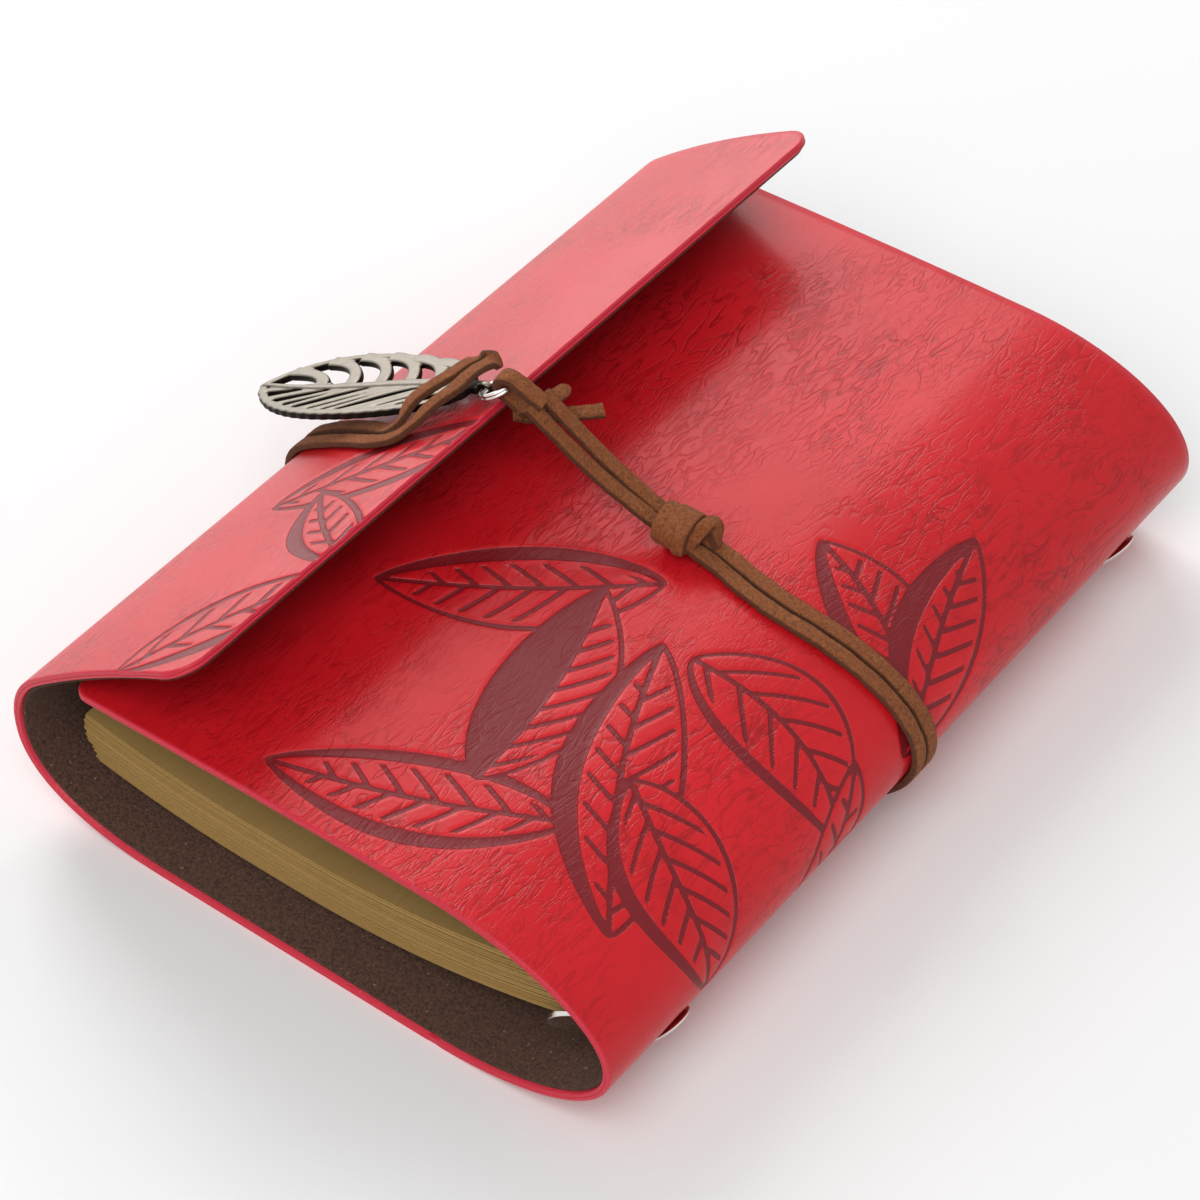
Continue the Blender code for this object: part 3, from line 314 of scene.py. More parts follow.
def linear(code):
    """Linear colour of an sRGB hex value."""
    value = np.array([int(code[k:k + 2], 16) for k in (0, 2, 4)]) / 255
    curve = np.where(value <= 0.04045, value / 12.92, ((value + 0.055) / 1.055) ** 2.4)
    return (*curve.tolist(), 1.0)


def fill_inputs(tree, node, inputs):
    """Set or link a node's inputs, each given by its name among those in use, or by its position."""
    for key, value in inputs.items():
        socket = node.inputs[key] if isinstance(key, int) else next(
            one for one in node.inputs if one.enabled and one.name == key)
        if isinstance(value, bpy.types.NodeSocket):
            tree.links.new(value, socket)
        else:
            socket.default_value = value


def add_node(tree, kind, inputs=None, output=None, **settings):
    """Add a shader node, set it up, fill its inputs, and return the named output or the first one in use."""
    made = tree.nodes.new("ShaderNode" + kind)
    for key, value in settings.items():
        setattr(made, key, value)
    fill_inputs(tree, made, inputs or {})
    return next(one for one in made.outputs if one.enabled and output in (None, one.name))


def new_material(name, inputs):
    """A Principled material; returns it with its node tree, its shader and the piece's own coordinates."""
    material = bpy.data.materials.new(name)
    material.use_nodes = True
    tree = material.node_tree
    shader = tree.nodes["Principled BSDF"]
    fill_inputs(tree, shader, inputs)
    return material, tree, shader, add_node(tree, "TexCoord", output="Object")


# Polyurethane leather on a fibre backing: a dyed, calendered skin with a satin top coat.
# Fine creases in patches come from drawing it over the board, with painted shade in them, and a hot plate
# darkens the grooves.
# Pores are drawn at 0.8 mm, coarser than they are, so that they show.
leather, tree, shader, place = new_material("faux_leather_red", {
    "IOR": 1.48, "Specular IOR Level": 0.28, "Coat Weight": 0.04, "Coat Roughness": 0.12})
# Creases: their way in degrees, the spacing, the size of their patches, and their weight in bump and painted
# shade
CREASES = [(20, 3.0 * MM, 34 * MM, 0.9), (82, 2.1 * MM, 26 * MM, 0.8), (146, 1.6 * MM, 21 * MM, 0.7)]
creases_and_shade = 0.0
for way_deg, gap, spread, weight in CREASES:
    drawn = add_node(tree, "Mapping", {
        "Vector": place, "Rotation": (0, 0, math.radians(way_deg)), "Scale": (1.0, 0.28, 0.6)})
    swell = add_node(tree, "TexNoise", {
        "Vector": drawn, "Scale": 1 / gap, "Detail": 1.5, "Distortion": 0.9})
    level = add_node(tree, "Math", {0: swell, 1: 0.5}, operation="SUBTRACT")
    away = add_node(tree, "Math", {0: level}, operation="ABSOLUTE")
    fold = add_node(tree, "MapRange", {
        "Value": away, "From Max": 0.055, "To Min": weight, "To Max": 0.0}, interpolation_type="SMOOTHSTEP")
    patch = add_node(tree, "TexNoise", {
        "Vector": place, "Scale": 1 / spread, "Detail": 3.0, "W": way_deg}, noise_dimensions="4D")
    where = add_node(tree, "MapRange", {"Value": patch, "From Min": 0.46, "From Max": 0.66})
    creases_and_shade = add_node(tree, "Math", {0: fold, 1: where, 2: creases_and_shade}, operation="MULTIPLY_ADD")
pores = add_node(tree, "TexNoise", {
    "Vector": place, "Scale": 1 / (0.8 * MM), "Detail": 4.0, "Roughness": 0.65})
grain = add_node(tree, "Math", {0: pores, 1: 0.25, 2: creases_and_shade}, operation="MULTIPLY_ADD")
groove = add_node(tree, "Attribute", output="Fac", attribute_name="groove_mm")
pressed = add_node(tree, "MapRange", {"Value": groove, "From Min": 0.10, "From Max": -0.10},
                   interpolation_type="SMOOTHSTEP")
wall = add_node(tree, "Bump", {"Height": pressed, "Strength": 0.6, "Distance": 0.3 * MM}, invert=True)
skin = add_node(tree, "Bump", {
    "Height": grain, "Strength": 0.5, "Distance": 0.18 * MM, "Normal": wall}, invert=True)
cut = add_node(tree, "Attribute", output="Fac", attribute_name="cut_edge")
cloud = add_node(tree, "TexNoise", {
    "Vector": place, "Scale": 1 / (35 * MM), "Detail": 4.0, "Roughness": 0.6})
tone = add_node(tree, "MapRange", {"Value": cloud, "From Min": 0.3, "From Max": 0.7})
red = linear("C4121C")
# Colour: random tone, painted shade in the creases, the pressed grooves' own colour, and the cut edge's tint
for share, dye in ((tone, "D61C26"), (creases_and_shade, "A60C16"), (pressed, "78131B"), (cut, "D22E42")):
    red = add_node(tree, "Mix", {"Factor": share, "A": red, "B": linear(dye)}, data_type="RGBA")
gloss = add_node(tree, "MapRange", {
    "Value": pores, "From Min": 0.3, "From Max": 0.7, "To Min": 0.30, "To Max": 0.40})
dull = add_node(tree, "Math", {0: pressed, 1: 0.10, 2: gloss}, operation="MULTIPLY_ADD")
fill_inputs(tree, shader, {"Base Color": red, "Roughness": dull, "Normal": skin})

# The grids are fine where the leaves lie, and coarser towards the far end and under the book
FINE, FINE_END = 0.54 * MM, 40 * MM
LEAVES_START, LEAVES_END, FLAP_FINE, FLAP_STEP = 20 * MM, 146 * MM, 24 * MM, 0.5 * MM
across = np.concatenate([np.arange(-COVER_HALF, FINE_END, FINE), np.linspace(FINE_END, COVER_HALF, 26)])
across = across / COVER_HALF


def edge_steps(radius, count=10):
    """Distances from a free edge that divide its quarter-round corner evenly by angle."""
    return radius * (1 - np.cos(np.linspace(0, math.pi / 2, count)))


def rounded_half(to_edge, radius):
    """Half length of the sheet at a distance from its free edge, with quarter-round corners."""
    inside = np.clip(radius - to_edge, 0, radius)
    return COVER_HALF - radius + np.sqrt(radius ** 2 - inside ** 2)


front = front_line()
front_total = lengths(front)[-1]
front_s = np.concatenate([edge_steps(COVER_CORNER), np.linspace(COVER_CORNER, LEAVES_START, 12)[1:-1],
                          np.arange(LEAVES_START, LEAVES_END, FINE),
                          np.linspace(LEAVES_END, front_total, 12)])
half = rounded_half(front_s, COVER_CORNER)
cover_sheet = sheet_piece("cover_and_spine", front, front_s, across, half, (0, LEATHER), (True, False),
                          leather, FRONT_LEAVES)
back = back_line()
back_total = lengths(back)[-1]
flap_start = back_total - FLAP_REACH - FOLD_RADIUS * FOLD_TURN
back_s = np.concatenate([np.linspace(0, flap_start + FLAP_FINE, 90),
                         np.arange(flap_start + FLAP_FINE + FLAP_STEP, back_total - FLAP_CORNER, FINE),
                         back_total - edge_steps(FLAP_CORNER, 22)[::-1]])
half = rounded_half(back_total - back_s, FLAP_CORNER)
flap_sheet = sheet_piece("back_and_flap", back, back_s, across, half, (0, LEATHER), (False, True),
                         leather, FLAP_LEAVES, flap_start)
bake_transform(cover_sheet)
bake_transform(flap_sheet)
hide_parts("front_cover", "spine_panel")
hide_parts("back_cover", "flap_panel")


# Lining: brown flocked cloth glued to the inside of the sheet, trimmed a little short of its edges.
# Short fibres stand on an adhesive, so it is matt, nearly black in shade, with pale specks of loose fibre.
# The fibres are drawn at 0.6 mm, as coarse as they need to be to show.
flock, tree, shader, place = new_material("flock_brown", {
    "Roughness": 0.95, "Sheen Weight": 0.25, "Sheen Roughness": 0.5, "Sheen Tint": linear("8A6A55")})
fibres = add_node(tree, "TexNoise", {
    "Vector": place, "Scale": 1 / (0.6 * MM), "Detail": 6.0, "Roughness": 0.85})
tuft = add_node(tree, "MapRange", {"Value": fibres, "From Min": 0.38, "From Max": 0.63})
specks = add_node(tree, "TexNoise", {"Vector": place, "Scale": 1 / (0.8 * MM), "Detail": 1.0})
speck = add_node(tree, "MapRange", {"Value": specks, "From Min": 0.74, "From Max": 0.77})
brown = linear("28170F")
for share, dye in ((tuft, "775241"), (speck, "A8876A")):
    brown = add_node(tree, "Mix", {"Factor": share, "A": brown, "B": linear(dye)}, data_type="RGBA")
nap = add_node(tree, "Bump", {"Height": fibres, "Strength": 1.0, "Distance": 0.5 * MM})
fill_inputs(tree, shader, {"Base Color": brown, "Normal": nap})

LINING_INSET, LINING_START, LINING_PLAIN = 0.7 * MM, 5 * MM, 1.5 * MM
lining_depths = (LEATHER + FIT, LEATHER + FIT + LINING)
lining_across = np.linspace(-1, 1, 91)
lining_s = np.concatenate([LINING_INSET + edge_steps(COVER_CORNER, 6),
                           np.linspace(LINING_START, front_total, 150)])
half = rounded_half(lining_s - LINING_INSET, COVER_CORNER) - LINING_INSET
cover_lining = sheet_piece("cover_and_spine_lining", front, lining_s, lining_across, half, lining_depths,
                           (False, False), flock)
lining_s = np.concatenate([np.linspace(0, back_total - FLAP_CORNER - LINING_PLAIN, 150),
                           back_total - LINING_INSET - edge_steps(FLAP_CORNER, 12)[::-1]])
half = rounded_half(back_total - LINING_INSET - lining_s, FLAP_CORNER) - LINING_INSET
flap_lining = sheet_piece("back_and_flap_lining", back, lining_s, lining_across, half, lining_depths,
                          (False, False), flock)
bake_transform(cover_lining)
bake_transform(flap_lining)
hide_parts("front_lining", "spine_lining")
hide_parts("back_lining", "flap_lining")


# Ring mechanism: an arched plate over two rails that carry six split rings, riveted inside the spine.
# It is stamped from sheet steel and wire and plated with bright nickel, which mirrors with a faint haze.
nickel, tree, shader, place = new_material("nickel_plate", {"Metallic": 1.0, "Anisotropic": 0.2})
smears = add_node(tree, "TexNoise", {"Vector": place, "Scale": 1 / (4 * MM), "Detail": 5.0})
haze = add_node(tree, "MapRange", {
    "Value": smears, "From Min": 0.3, "From Max": 0.7, "To Min": 0.12, "To Max": 0.26})
bright = add_node(tree, "Mix", {"Factor": smears, "A": linear("E4E1DB"), "B": linear("CFCBC4")},
                  data_type="RGBA")
fill_inputs(tree, shader, {"Base Color": bright, "Roughness": haze})
for node in ("ring_arch", "ring_rail_upper", "ring_rail_lower"):
    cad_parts[node].data.materials.clear()
    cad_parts[node].data.materials.append(nickel)

MECH_ORIGIN = np.array([59.648, 12.342]) * MM
MECH_T, MECH_N = np.array([0.68298, 0.73044]), np.array([-0.73044, 0.68298])
RING_RADIUS, RING_RISE, WIRE, RING_LEG = 8.5 * MM, 11 * MM, 1.2 * MM, 6.0 * MM
RING_FOOT, RING_LEG_END, RING_PART = 4.8 * MM, 0.5 * MM, 0.02
RING_TIP = (0.55, 0.8, 0.93, 0.98)
RING_YS = np.array([-63.4, -44.4, -25.4, 25.4, 44.4, 63.4]) * MM


def mech(t, h, y):
    """World points from the mechanism's own frame: across the spine, inwards, and along the spine."""
    t, h, y = np.broadcast_arrays(np.asarray(t, float), h, y)
    return in_space(MECH_ORIGIN + t[..., None] * MECH_T + h[..., None] * MECH_N, y)


def swept(path, ups, section, widths=1.0, thicks=1.0):
    """Carry a closed section of (across, up) along a path: point + across * a + up * b, with flat ends.

    widths and thicks scale the section at each point.
    """
    path = np.asarray(path, float)
    rows, count = len(path), len(section)
    tangent = unit(np.gradient(path, axis=0))
    ups = np.broadcast_to(np.asarray(ups, float), path.shape)
    ups = unit(ups - tangent * np.sum(ups * tangent, 1)[:, None])
    sides = np.cross(tangent, ups)
    a = np.broadcast_to(widths, rows)[:, None] * section[:, 0]
    b = np.broadcast_to(thicks, rows)[:, None] * section[:, 1]
    verts = path[:, None] + sides[:, None] * a[:, :, None] + ups[:, None] * b[:, :, None]
    index = np.arange(rows * count).reshape(rows, count)
    return verts.reshape(-1, 3), ring_quads(index).tolist() + [index[0][::-1].tolist(), index[-1].tolist()]


def oval(width, thick, count, square=1.0):
    """Section of a wire or lace: cosine and sine raised to a power below 1 to square it off."""
    turn = np.arange(count) * 2 * math.pi / count
    c, s = np.cos(turn), np.sin(turn)
    return np.stack([width / 2 * np.sign(c) * np.abs(c) ** square,
                     thick / 2 * np.sign(s) * np.abs(s) ** square], 1)


def joined(solids):
    """Several meshes as one list of points and faces."""
    verts, faces, start = [], [], 0
    for some, more in solids:
        verts.append(np.asarray(some))
        faces += [[start + k for k in face] for face in more]
        start += len(some)
    return np.concatenate(verts), faces


turn = np.linspace(RING_PART, math.pi - math.asin(RING_LEG / RING_RADIUS), 60)
ring_t = np.concatenate([RING_RADIUS * np.sin(turn), [RING_LEG, RING_LEG]])
ring_h = np.concatenate([RING_RISE + RING_RADIUS * np.cos(turn), [RING_FOOT + RING_LEG_END, RING_FOOT]])
ring_size = np.ones(len(ring_t))
ring_size[:len(RING_TIP)] = RING_TIP
for side, label in ((1, "upper"), (-1, "lower")):
    for number, ring_y in enumerate(RING_YS, 1):
        path = mech(side * ring_t, ring_h, ring_y)
        wire = swept(path, (0, 1, 0), oval(2 * WIRE, 2 * WIRE, 20), ring_size, ring_size)
        ring = new_piece(f"half_ring_{label}_{number}_wire", *wire, nickel)
        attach(ring, f"rings_{label}")
        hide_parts(f"half_ring_{label}_{number}")

# Opening levers: a tongue at each end of the rails, bent up at a slope so that a thumb can press it.
# Stamped from the same plated sheet, with a round end.
LEVER_WIDTH, LEVER_THICK, LEVER_PIVOT, LEVER_H = 12.6 * MM, 1.0 * MM, 75.5 * MM, 3.2 * MM
LEVER_SLOPE, LEVER_BEND, LEVER_CORNER = math.radians(55), 3 * MM, 6.0 * MM
LEVER_REACH, LEVER_FOOT, LEVER_FLAT, LEVER_SQUARE = 10.5 * MM, 2 * MM, 2.5 * MM, 0.35
turn = np.linspace(0, LEVER_SLOPE, 20)
lever_bend = np.stack([LEVER_FLAT + LEVER_BEND * np.sin(turn), LEVER_H + LEVER_BEND * (1 - np.cos(turn))], 1)
climb = (LEVER_REACH - lever_bend[-1, 0]) * (1 - np.linspace(1, 0, 40)[1:, None] ** 2)
lever_ramp = lever_bend[-1] + climb * np.array([1, math.tan(LEVER_SLOPE)])
lever_flat = np.stack([np.linspace(-LEVER_FOOT, LEVER_FLAT, 8)[:-1], np.full(7, LEVER_H)], 1)
lever_line = np.concatenate([lever_flat, lever_bend, lever_ramp])
lever_s = lengths(lever_line)
to_corner = np.clip(LEVER_CORNER - (lever_s[-1] - lever_s), 0, LEVER_CORNER)
lever_half = LEVER_WIDTH / 2 - LEVER_CORNER + np.sqrt(LEVER_CORNER ** 2 - to_corner ** 2)
_, facing = with_normals(lever_line, lever_s)
for end, side in (("near", -1), ("far", 1)):
    path = mech(0, lever_line[:, 1], side * (LEVER_PIVOT + lever_line[:, 0]))
    ups = in_space(facing[:, 1:] * MECH_N, side * facing[:, 0])
    section = oval(LEVER_WIDTH, LEVER_THICK, 40, LEVER_SQUARE)
    tongue = swept(path, ups, section, lever_half / (LEVER_WIDTH / 2))
    lever = new_piece(f"lever_{end}_tongue", *tongue, nickel)
    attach(lever, f"lever_{end}")
    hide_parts(f"ring_lever_{end}")

# Rivets: a low domed head outside the spine, a shank through the sheet, and a washer on the plate.
# They are turned and plated like the rest, and clench the mechanism to the cover.
PANEL_DEPTH, HEAD_SEAT, WASHER_SEAT, RIVET_Y = 2.2 * MM, 0.3 * MM, 7.4 * MM, 70 * MM
HEAD_RADIUS, HEAD_RISE, HEAD_EDGE, SHANK_RADIUS = 4.7 * MM, 1.1 * MM, 0.1 * MM, 1.6 * MM
WASHER_RADIUS, WASHER_THICK, WASHER_EDGE = 2.7 * MM, 0.6 * MM, 0.1 * MM
head, foot = -PANEL_DEPTH - HEAD_SEAT, WASHER_SEAT
turn = np.linspace(0, math.pi / 2, 14)[1:]
rivet_radius, rivet_h = np.concatenate([
    np.stack([HEAD_RADIUS * np.sin(turn), head - HEAD_RISE * np.cos(turn)], 1),
    [(HEAD_RADIUS - HEAD_EDGE, head + HEAD_EDGE), (SHANK_RADIUS, head + HEAD_EDGE), (SHANK_RADIUS, foot),
     (WASHER_RADIUS - WASHER_EDGE, foot), (WASHER_RADIUS, foot + WASHER_EDGE),
     (WASHER_RADIUS, foot + WASHER_THICK - WASHER_EDGE),
     (WASHER_RADIUS - 2 * WASHER_EDGE, foot + WASHER_THICK)]]).T
for end, side in (("near", -1), ("far", 1)):
    turned = swept(mech(0, rivet_h, side * RIVET_Y), (0, 1, 0), oval(2, 2, 48), rivet_radius, rivet_radius)
    rivet = new_piece(f"rivet_{end}_turned", *turned, nickel)
    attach(rivet, "book")
    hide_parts(f"rivet_{end}")


# Leaves: kraft paper in seven groups, punched with six holes and dropped on the rings.
# Each group is a few loose sheets, cut square, whose edges don't quite line up.
# Kraft is matt and fibrous; its fibres are drawn at 0.8 mm, as coarse as they need to be to show.
kraft, tree, shader, place = new_material("kraft_paper", {"Roughness": 0.9})
stretch = add_node(tree, "Mapping", {"Vector": place, "Scale": (1.0, 0.3, 1.0)})
fibre = add_node(tree, "TexNoise", {
    "Vector": stretch, "Scale": 1 / (0.8 * MM), "Detail": 5.0, "Roughness": 0.7})
blot = add_node(tree, "TexNoise", {"Vector": place, "Scale": 1 / (12 * MM), "Detail": 2.0})
pulp = linear("9A763E")
for share, dye in ((fibre, "CDA968"), (blot, "AD8A4E")):
    pulp = add_node(tree, "Mix", {"Factor": share, "A": pulp, "B": linear(dye)}, data_type="RGBA")
tooth = add_node(tree, "Bump", {"Height": fibre, "Strength": 0.4, "Distance": 0.1 * MM})
fill_inputs(tree, shader, {"Base Color": pulp, "Normal": tooth})

PAGE_HALF, PAGE_WIDTH, PAGE_THICK, PAGE_PITCH, PAGE_FLOOR = 81 * MM, 106 * MM, 1.25 * MM, 1.55 * MM, 4.4 * MM
PAGE_MARGIN, HOLE, HOLE_SQUARE, PAGE_CLEAR = 5.5 * MM, 2.4 * MM, 1.6, 8 * MM
# Where the sheets start to bend towards the rings and towards the fold, over what span, and how high
RING_BEND_X, RING_BEND_SPAN, RING_BEND_RISE = -10 * MM, 57 * MM, 9.6 * MM
FOLD_BEND_X, FOLD_BEND_SPAN, FOLD_BEND_RISE = -20 * MM, 36 * MM, 3.4 * MM
SHEETS, SHEET_SHARE, SHEET_SLIP, SHEET_STRETCH = 6, 0.86, 0.28, 0.002
WAVE_HEIGHT, WAVE_LENGTH, WAVE_START = 0.03 * MM, 23 * MM, 6
RING_CENTRE = MECH_ORIGIN + MECH_N * RING_RISE


def page_height(x, lift):
    """Height of a sheet: lifted by a square law at the rings and at the fold, level between them."""
    right = np.clip((x - RING_BEND_X) / RING_BEND_SPAN, 0, None)
    left = np.clip((FOLD_BEND_X - x) / FOLD_BEND_SPAN, 0, None)
    return PAGE_FLOOR + lift + RING_BEND_RISE * right ** 2 + FOLD_BEND_RISE * left ** 2


def hole_x(lift):
    """X where a sheet meets the left side of the ring, found by halving."""
    low, high = RING_CENTRE[0] - RING_RADIUS, RING_CENTRE[0]
    for _ in range(40):
        middle = (low + high) / 2
        far = math.hypot(middle - RING_CENTRE[0], page_height(middle, lift) - RING_CENTRE[1]) > RING_RADIUS
        low, high = (middle, high) if far else (low, middle)
    return low


def punched_plan():
    """Plan of a punched sheet as (distance from the ring edge, y): a grid whose hole cells are round.

    Lines of the grid are set close beside each hole; the cells of a hole's square are left out,
    and a band of faces joins the square's rim to the hole's circle.
    """
    beside = np.linspace(-1, 1, 5) * HOLE_SQUARE * HOLE
    a = np.concatenate([[0], PAGE_MARGIN + beside, np.linspace(PAGE_MARGIN + PAGE_CLEAR, PAGE_WIDTH, 24)])
    between = np.array([-74, -54, -35, -12, 0, 12, 35, 54, 74]) * MM
    b = np.unique(np.concatenate([[-PAGE_HALF, PAGE_HALF], between, (RING_YS[:, None] + beside).ravel()]))
    index = np.arange(len(a) * len(b)).reshape(len(a), len(b))
    plan = np.stack(np.meshgrid(a, b, indexing="ij"), -1).reshape(-1, 2)
    keep = np.ones((len(a) - 1, len(b) - 1), bool)
    circles, bands = [], []
    for number, ring_y in enumerate(RING_YS):
        j = int(np.argmin(np.abs(b - (ring_y + beside[0]))))
        keep[1:5, j:j + 4] = False
        rim = np.concatenate([index[1, j:j + 4], index[1:5, j + 4], index[5, j + 4:j:-1], index[5:1:-1, j]])
        centre = np.array([PAGE_MARGIN, ring_y])
        circles.append(centre + unit(plan[rim] - centre) * HOLE)
        circle = len(plan) + number * len(rim) + np.arange(len(rim))
        bands.append(ring_quads(np.stack([rim, circle])))
    return np.concatenate([plan] + circles), np.concatenate([quads(index)[keep.ravel()]] + bands)


plan, plan_faces = punched_plan()
edges = np.stack([plan_faces, np.roll(plan_faces, -1, 1)], -1).reshape(-1, 2).tolist()
known = {tuple(edge) for edge in edges}
first, second = np.array([edge for edge in edges if (edge[1], edge[0]) not in known]).T
count = len(plan)
walls = np.stack([second, first, first + count, second + count], -1)
sheet_faces = np.concatenate([plan_faces, plan_faces[:, ::-1] + count, walls]).tolist()
page_bodies = ["book"] * 4 + ["leaves_lower", "leaves_middle", "leaves_top"]
draw = np.random.default_rng(7)
for group, body in enumerate(page_bodies):
    sheets = []
    for number in range(SHEETS):
        lift = group * PAGE_PITCH + number * PAGE_THICK / SHEETS
        thick = PAGE_THICK / SHEETS * SHEET_SHARE
        slip, _ = draw.uniform(-SHEET_SLIP, SHEET_SLIP, 2) * MM
        ring_x = hole_x(lift + thick / 2)
        x = ring_x + PAGE_MARGIN - plan[:, 0] * (1 + draw.uniform(-SHEET_STRETCH, SHEET_STRETCH))
        y = plan[:, 1] + slip * np.sign(plan[:, 1]) * (np.abs(plan[:, 1]) > PAGE_HALF - MM)
        wave = WAVE_HEIGHT * np.sin(y / WAVE_LENGTH + draw.uniform(0, WAVE_START))
        low = np.stack([x, y, page_height(x, lift) + wave], 1)
        sheets.append((np.concatenate([low, low + np.array([0, 0, thick])]), sheet_faces))
    block = new_piece(f"leaves_{group + 1}_sheets", *joined(sheets), kraft)
    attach(block, body)
    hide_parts(f"page_group_{group + 1}")


# Suede strap: one flat lace of split leather, folded in half. Its ends are hitched to the ring on the flap,
# both strands are tied in an overhand knot, go round the spine and under the book, and the folded end
# comes up over the flap and hooks round the leaf. The nap is matt, drawn coarse to show, with painted shade
# on its cut sides.
suede, tree, shader, place = new_material("suede_brown", {
    "Roughness": 0.95, "Sheen Weight": 0.12, "Sheen Roughness": 0.5, "Sheen Tint": linear("C08A5A")})
nap = add_node(tree, "TexNoise", {
    "Vector": place, "Scale": 1 / (0.6 * MM), "Detail": 5.0, "Roughness": 0.8})
drift = add_node(tree, "TexNoise", {"Vector": place, "Scale": 1 / (5 * MM), "Detail": 3.0})
lit = add_node(tree, "MapRange", {"Value": nap, "From Min": 0.36, "From Max": 0.64})
# Painted shade: the lace's cut sides are darkened as if they were in shade
cut = add_node(tree, "Attribute", output="Fac", attribute_name="cut_side_shade")
dark = add_node(tree, "Math", {0: cut, 1: 0.75}, operation="MULTIPLY")
hide = linear("4A220E")
for share, dye in ((lit, "C67843"), (drift, "8A481F"), (dark, "3C2010")):
    hide = add_node(tree, "Mix", {"Factor": share, "A": hide, "B": linear(dye)}, data_type="RGBA")
fuzz = add_node(tree, "Bump", {"Height": nap, "Strength": 1.0, "Distance": 0.5 * MM})
fill_inputs(tree, shader, {"Base Color": hide, "Normal": fuzz})

LACE_POINTS, LACE_SQUARE, LACE_ROUGH, LACE_SIDE = 28, 0.42, 0.022 * MM, (0.80, 0.99)
LACE = oval(STRAP_WIDTH, STRAP_THICK, LACE_POINTS, LACE_SQUARE)


def lace_piece(name, path, ups, section=LACE, taper=1.0):
    """A length of lace: the squared section carried along the path.

    Two sines along the path make its width wander by a few percent, and its points are roughened at random.
    """
    s = lengths(path) / MM
    wander = 1 + 0.035 * np.sin(s * 0.83 + path[0, 1] * 900) + 0.02 * np.sin(s * 2.3 + 1)
    verts, faces = swept(path, ups, section, wander * taper)
    verts = verts + np.random.default_rng(len(path)).normal(0, LACE_ROUGH, verts.shape)
    piece = new_piece(name, verts, faces, suede)
    # The section's outer edges, the cut sides, are marked for their painted shade
    sides = ease(*LACE_SIDE, np.abs(section[:, 0]) / section[:, 0].max())
    mark(piece.data, "cut_side_shade", np.tile(sides, len(path)))
    return piece


def curve(points, step):
    """Evenly spaced points of a Catmull-Rom curve through a few points."""
    points = np.asarray(points, float)
    ends = np.concatenate([[2 * points[0] - points[1]], points, [2 * points[-1] - points[-2]]])
    p0, p1, p2, p3 = ends[:-3, None], ends[1:-2, None], ends[2:-1, None], ends[3:, None]
    v = np.linspace(0, 1, 24, endpoint=False)[None, :, None]
    fine = 0.5 * (2 * p1 + (p2 - p0) * v + (2 * p0 - 5 * p1 + 4 * p2 - p3) * v ** 2
                  + (3 * p1 - p0 - 3 * p2 + p3) * v ** 3)
    fine = np.concatenate([fine.reshape(-1, points.shape[1]), points[-1:]])
    total = lengths(fine)[-1]
    return at(fine, np.linspace(0, total, max(8, int(total / step))))


def curve_with_ups(points, ups, step):
    """A smooth curve through points, and the lace's own up direction interpolated along it."""
    path = curve(points, step)
    return path, at(points, np.linspace(0, lengths(points)[-1], len(path)), ups)


def on_line(line, start, end, shift, count):
    """Middle of a strand on the outside of the cover between two distances along a line, with its normals."""
    points, normals = with_normals(line, np.linspace(start, end, count))
    height = STRAP_GAP + STRAP_THICK / 2 - strap_press(points, normals)
    return in_space(points + normals * height[:, None], strap_y(points[:, 0]) + shift), in_space(normals, 0)


# Strands round the spine: from the knot over the cover and the spine to the middle of the underside.
# They leave the knot side by side and settle on the cover within a few centimetres.
KNOT = np.array([14.5, -1.0, 42.65]) * MM
KNOT_LEAD = np.array([(15.5, -1, 41.5), (18.5, -1, 40.9), (22, -1, 40.15)]) * MM
KNOT_END, STRAP_SETTLE, STRAP_LANDS, UNDER = 20.1 * MM, 20 * MM, 77 * MM, 28 * MM
LEAD_CLOSE, LINE_STEP, STRAND_STEP = 0.95, 0.5 * MM, 0.7 * MM
for end, shift in (("near", -STRAND_OFFSET), ("far", STRAND_OFFSET)):
    lead = KNOT_LEAD + np.array([0, shift * LEAD_CLOSE, 0])
    over, over_up = on_line(front, STRAP_LANDS, front_total, shift, 150)
    on_top = over[:, 2] > BODY_HEIGHT / 2
    settled = np.where(on_top, ease(0, STRAP_SETTLE, over[:, 0] - KNOT_END), 1)
    over[:, 1] = (KNOT[1] + shift) + (over[:, 1] - KNOT[1] - shift) * settled
    under, under_up = on_line(back, LINE_STEP, UNDER, shift, 40)
    rough = np.concatenate([lead, over[::5], under[::4]])
    rough_up = np.concatenate([np.tile([0, 0, 1.0], (len(lead), 1)), over_up[::5], under_up[::4]])
    path, ups = curve_with_ups(rough, rough_up, STRAND_STEP)
    strand = lace_piece(f"strap_spine_{end}", path, ups)
    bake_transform(strand)
    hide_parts(f"strap_spine_side_{end}")

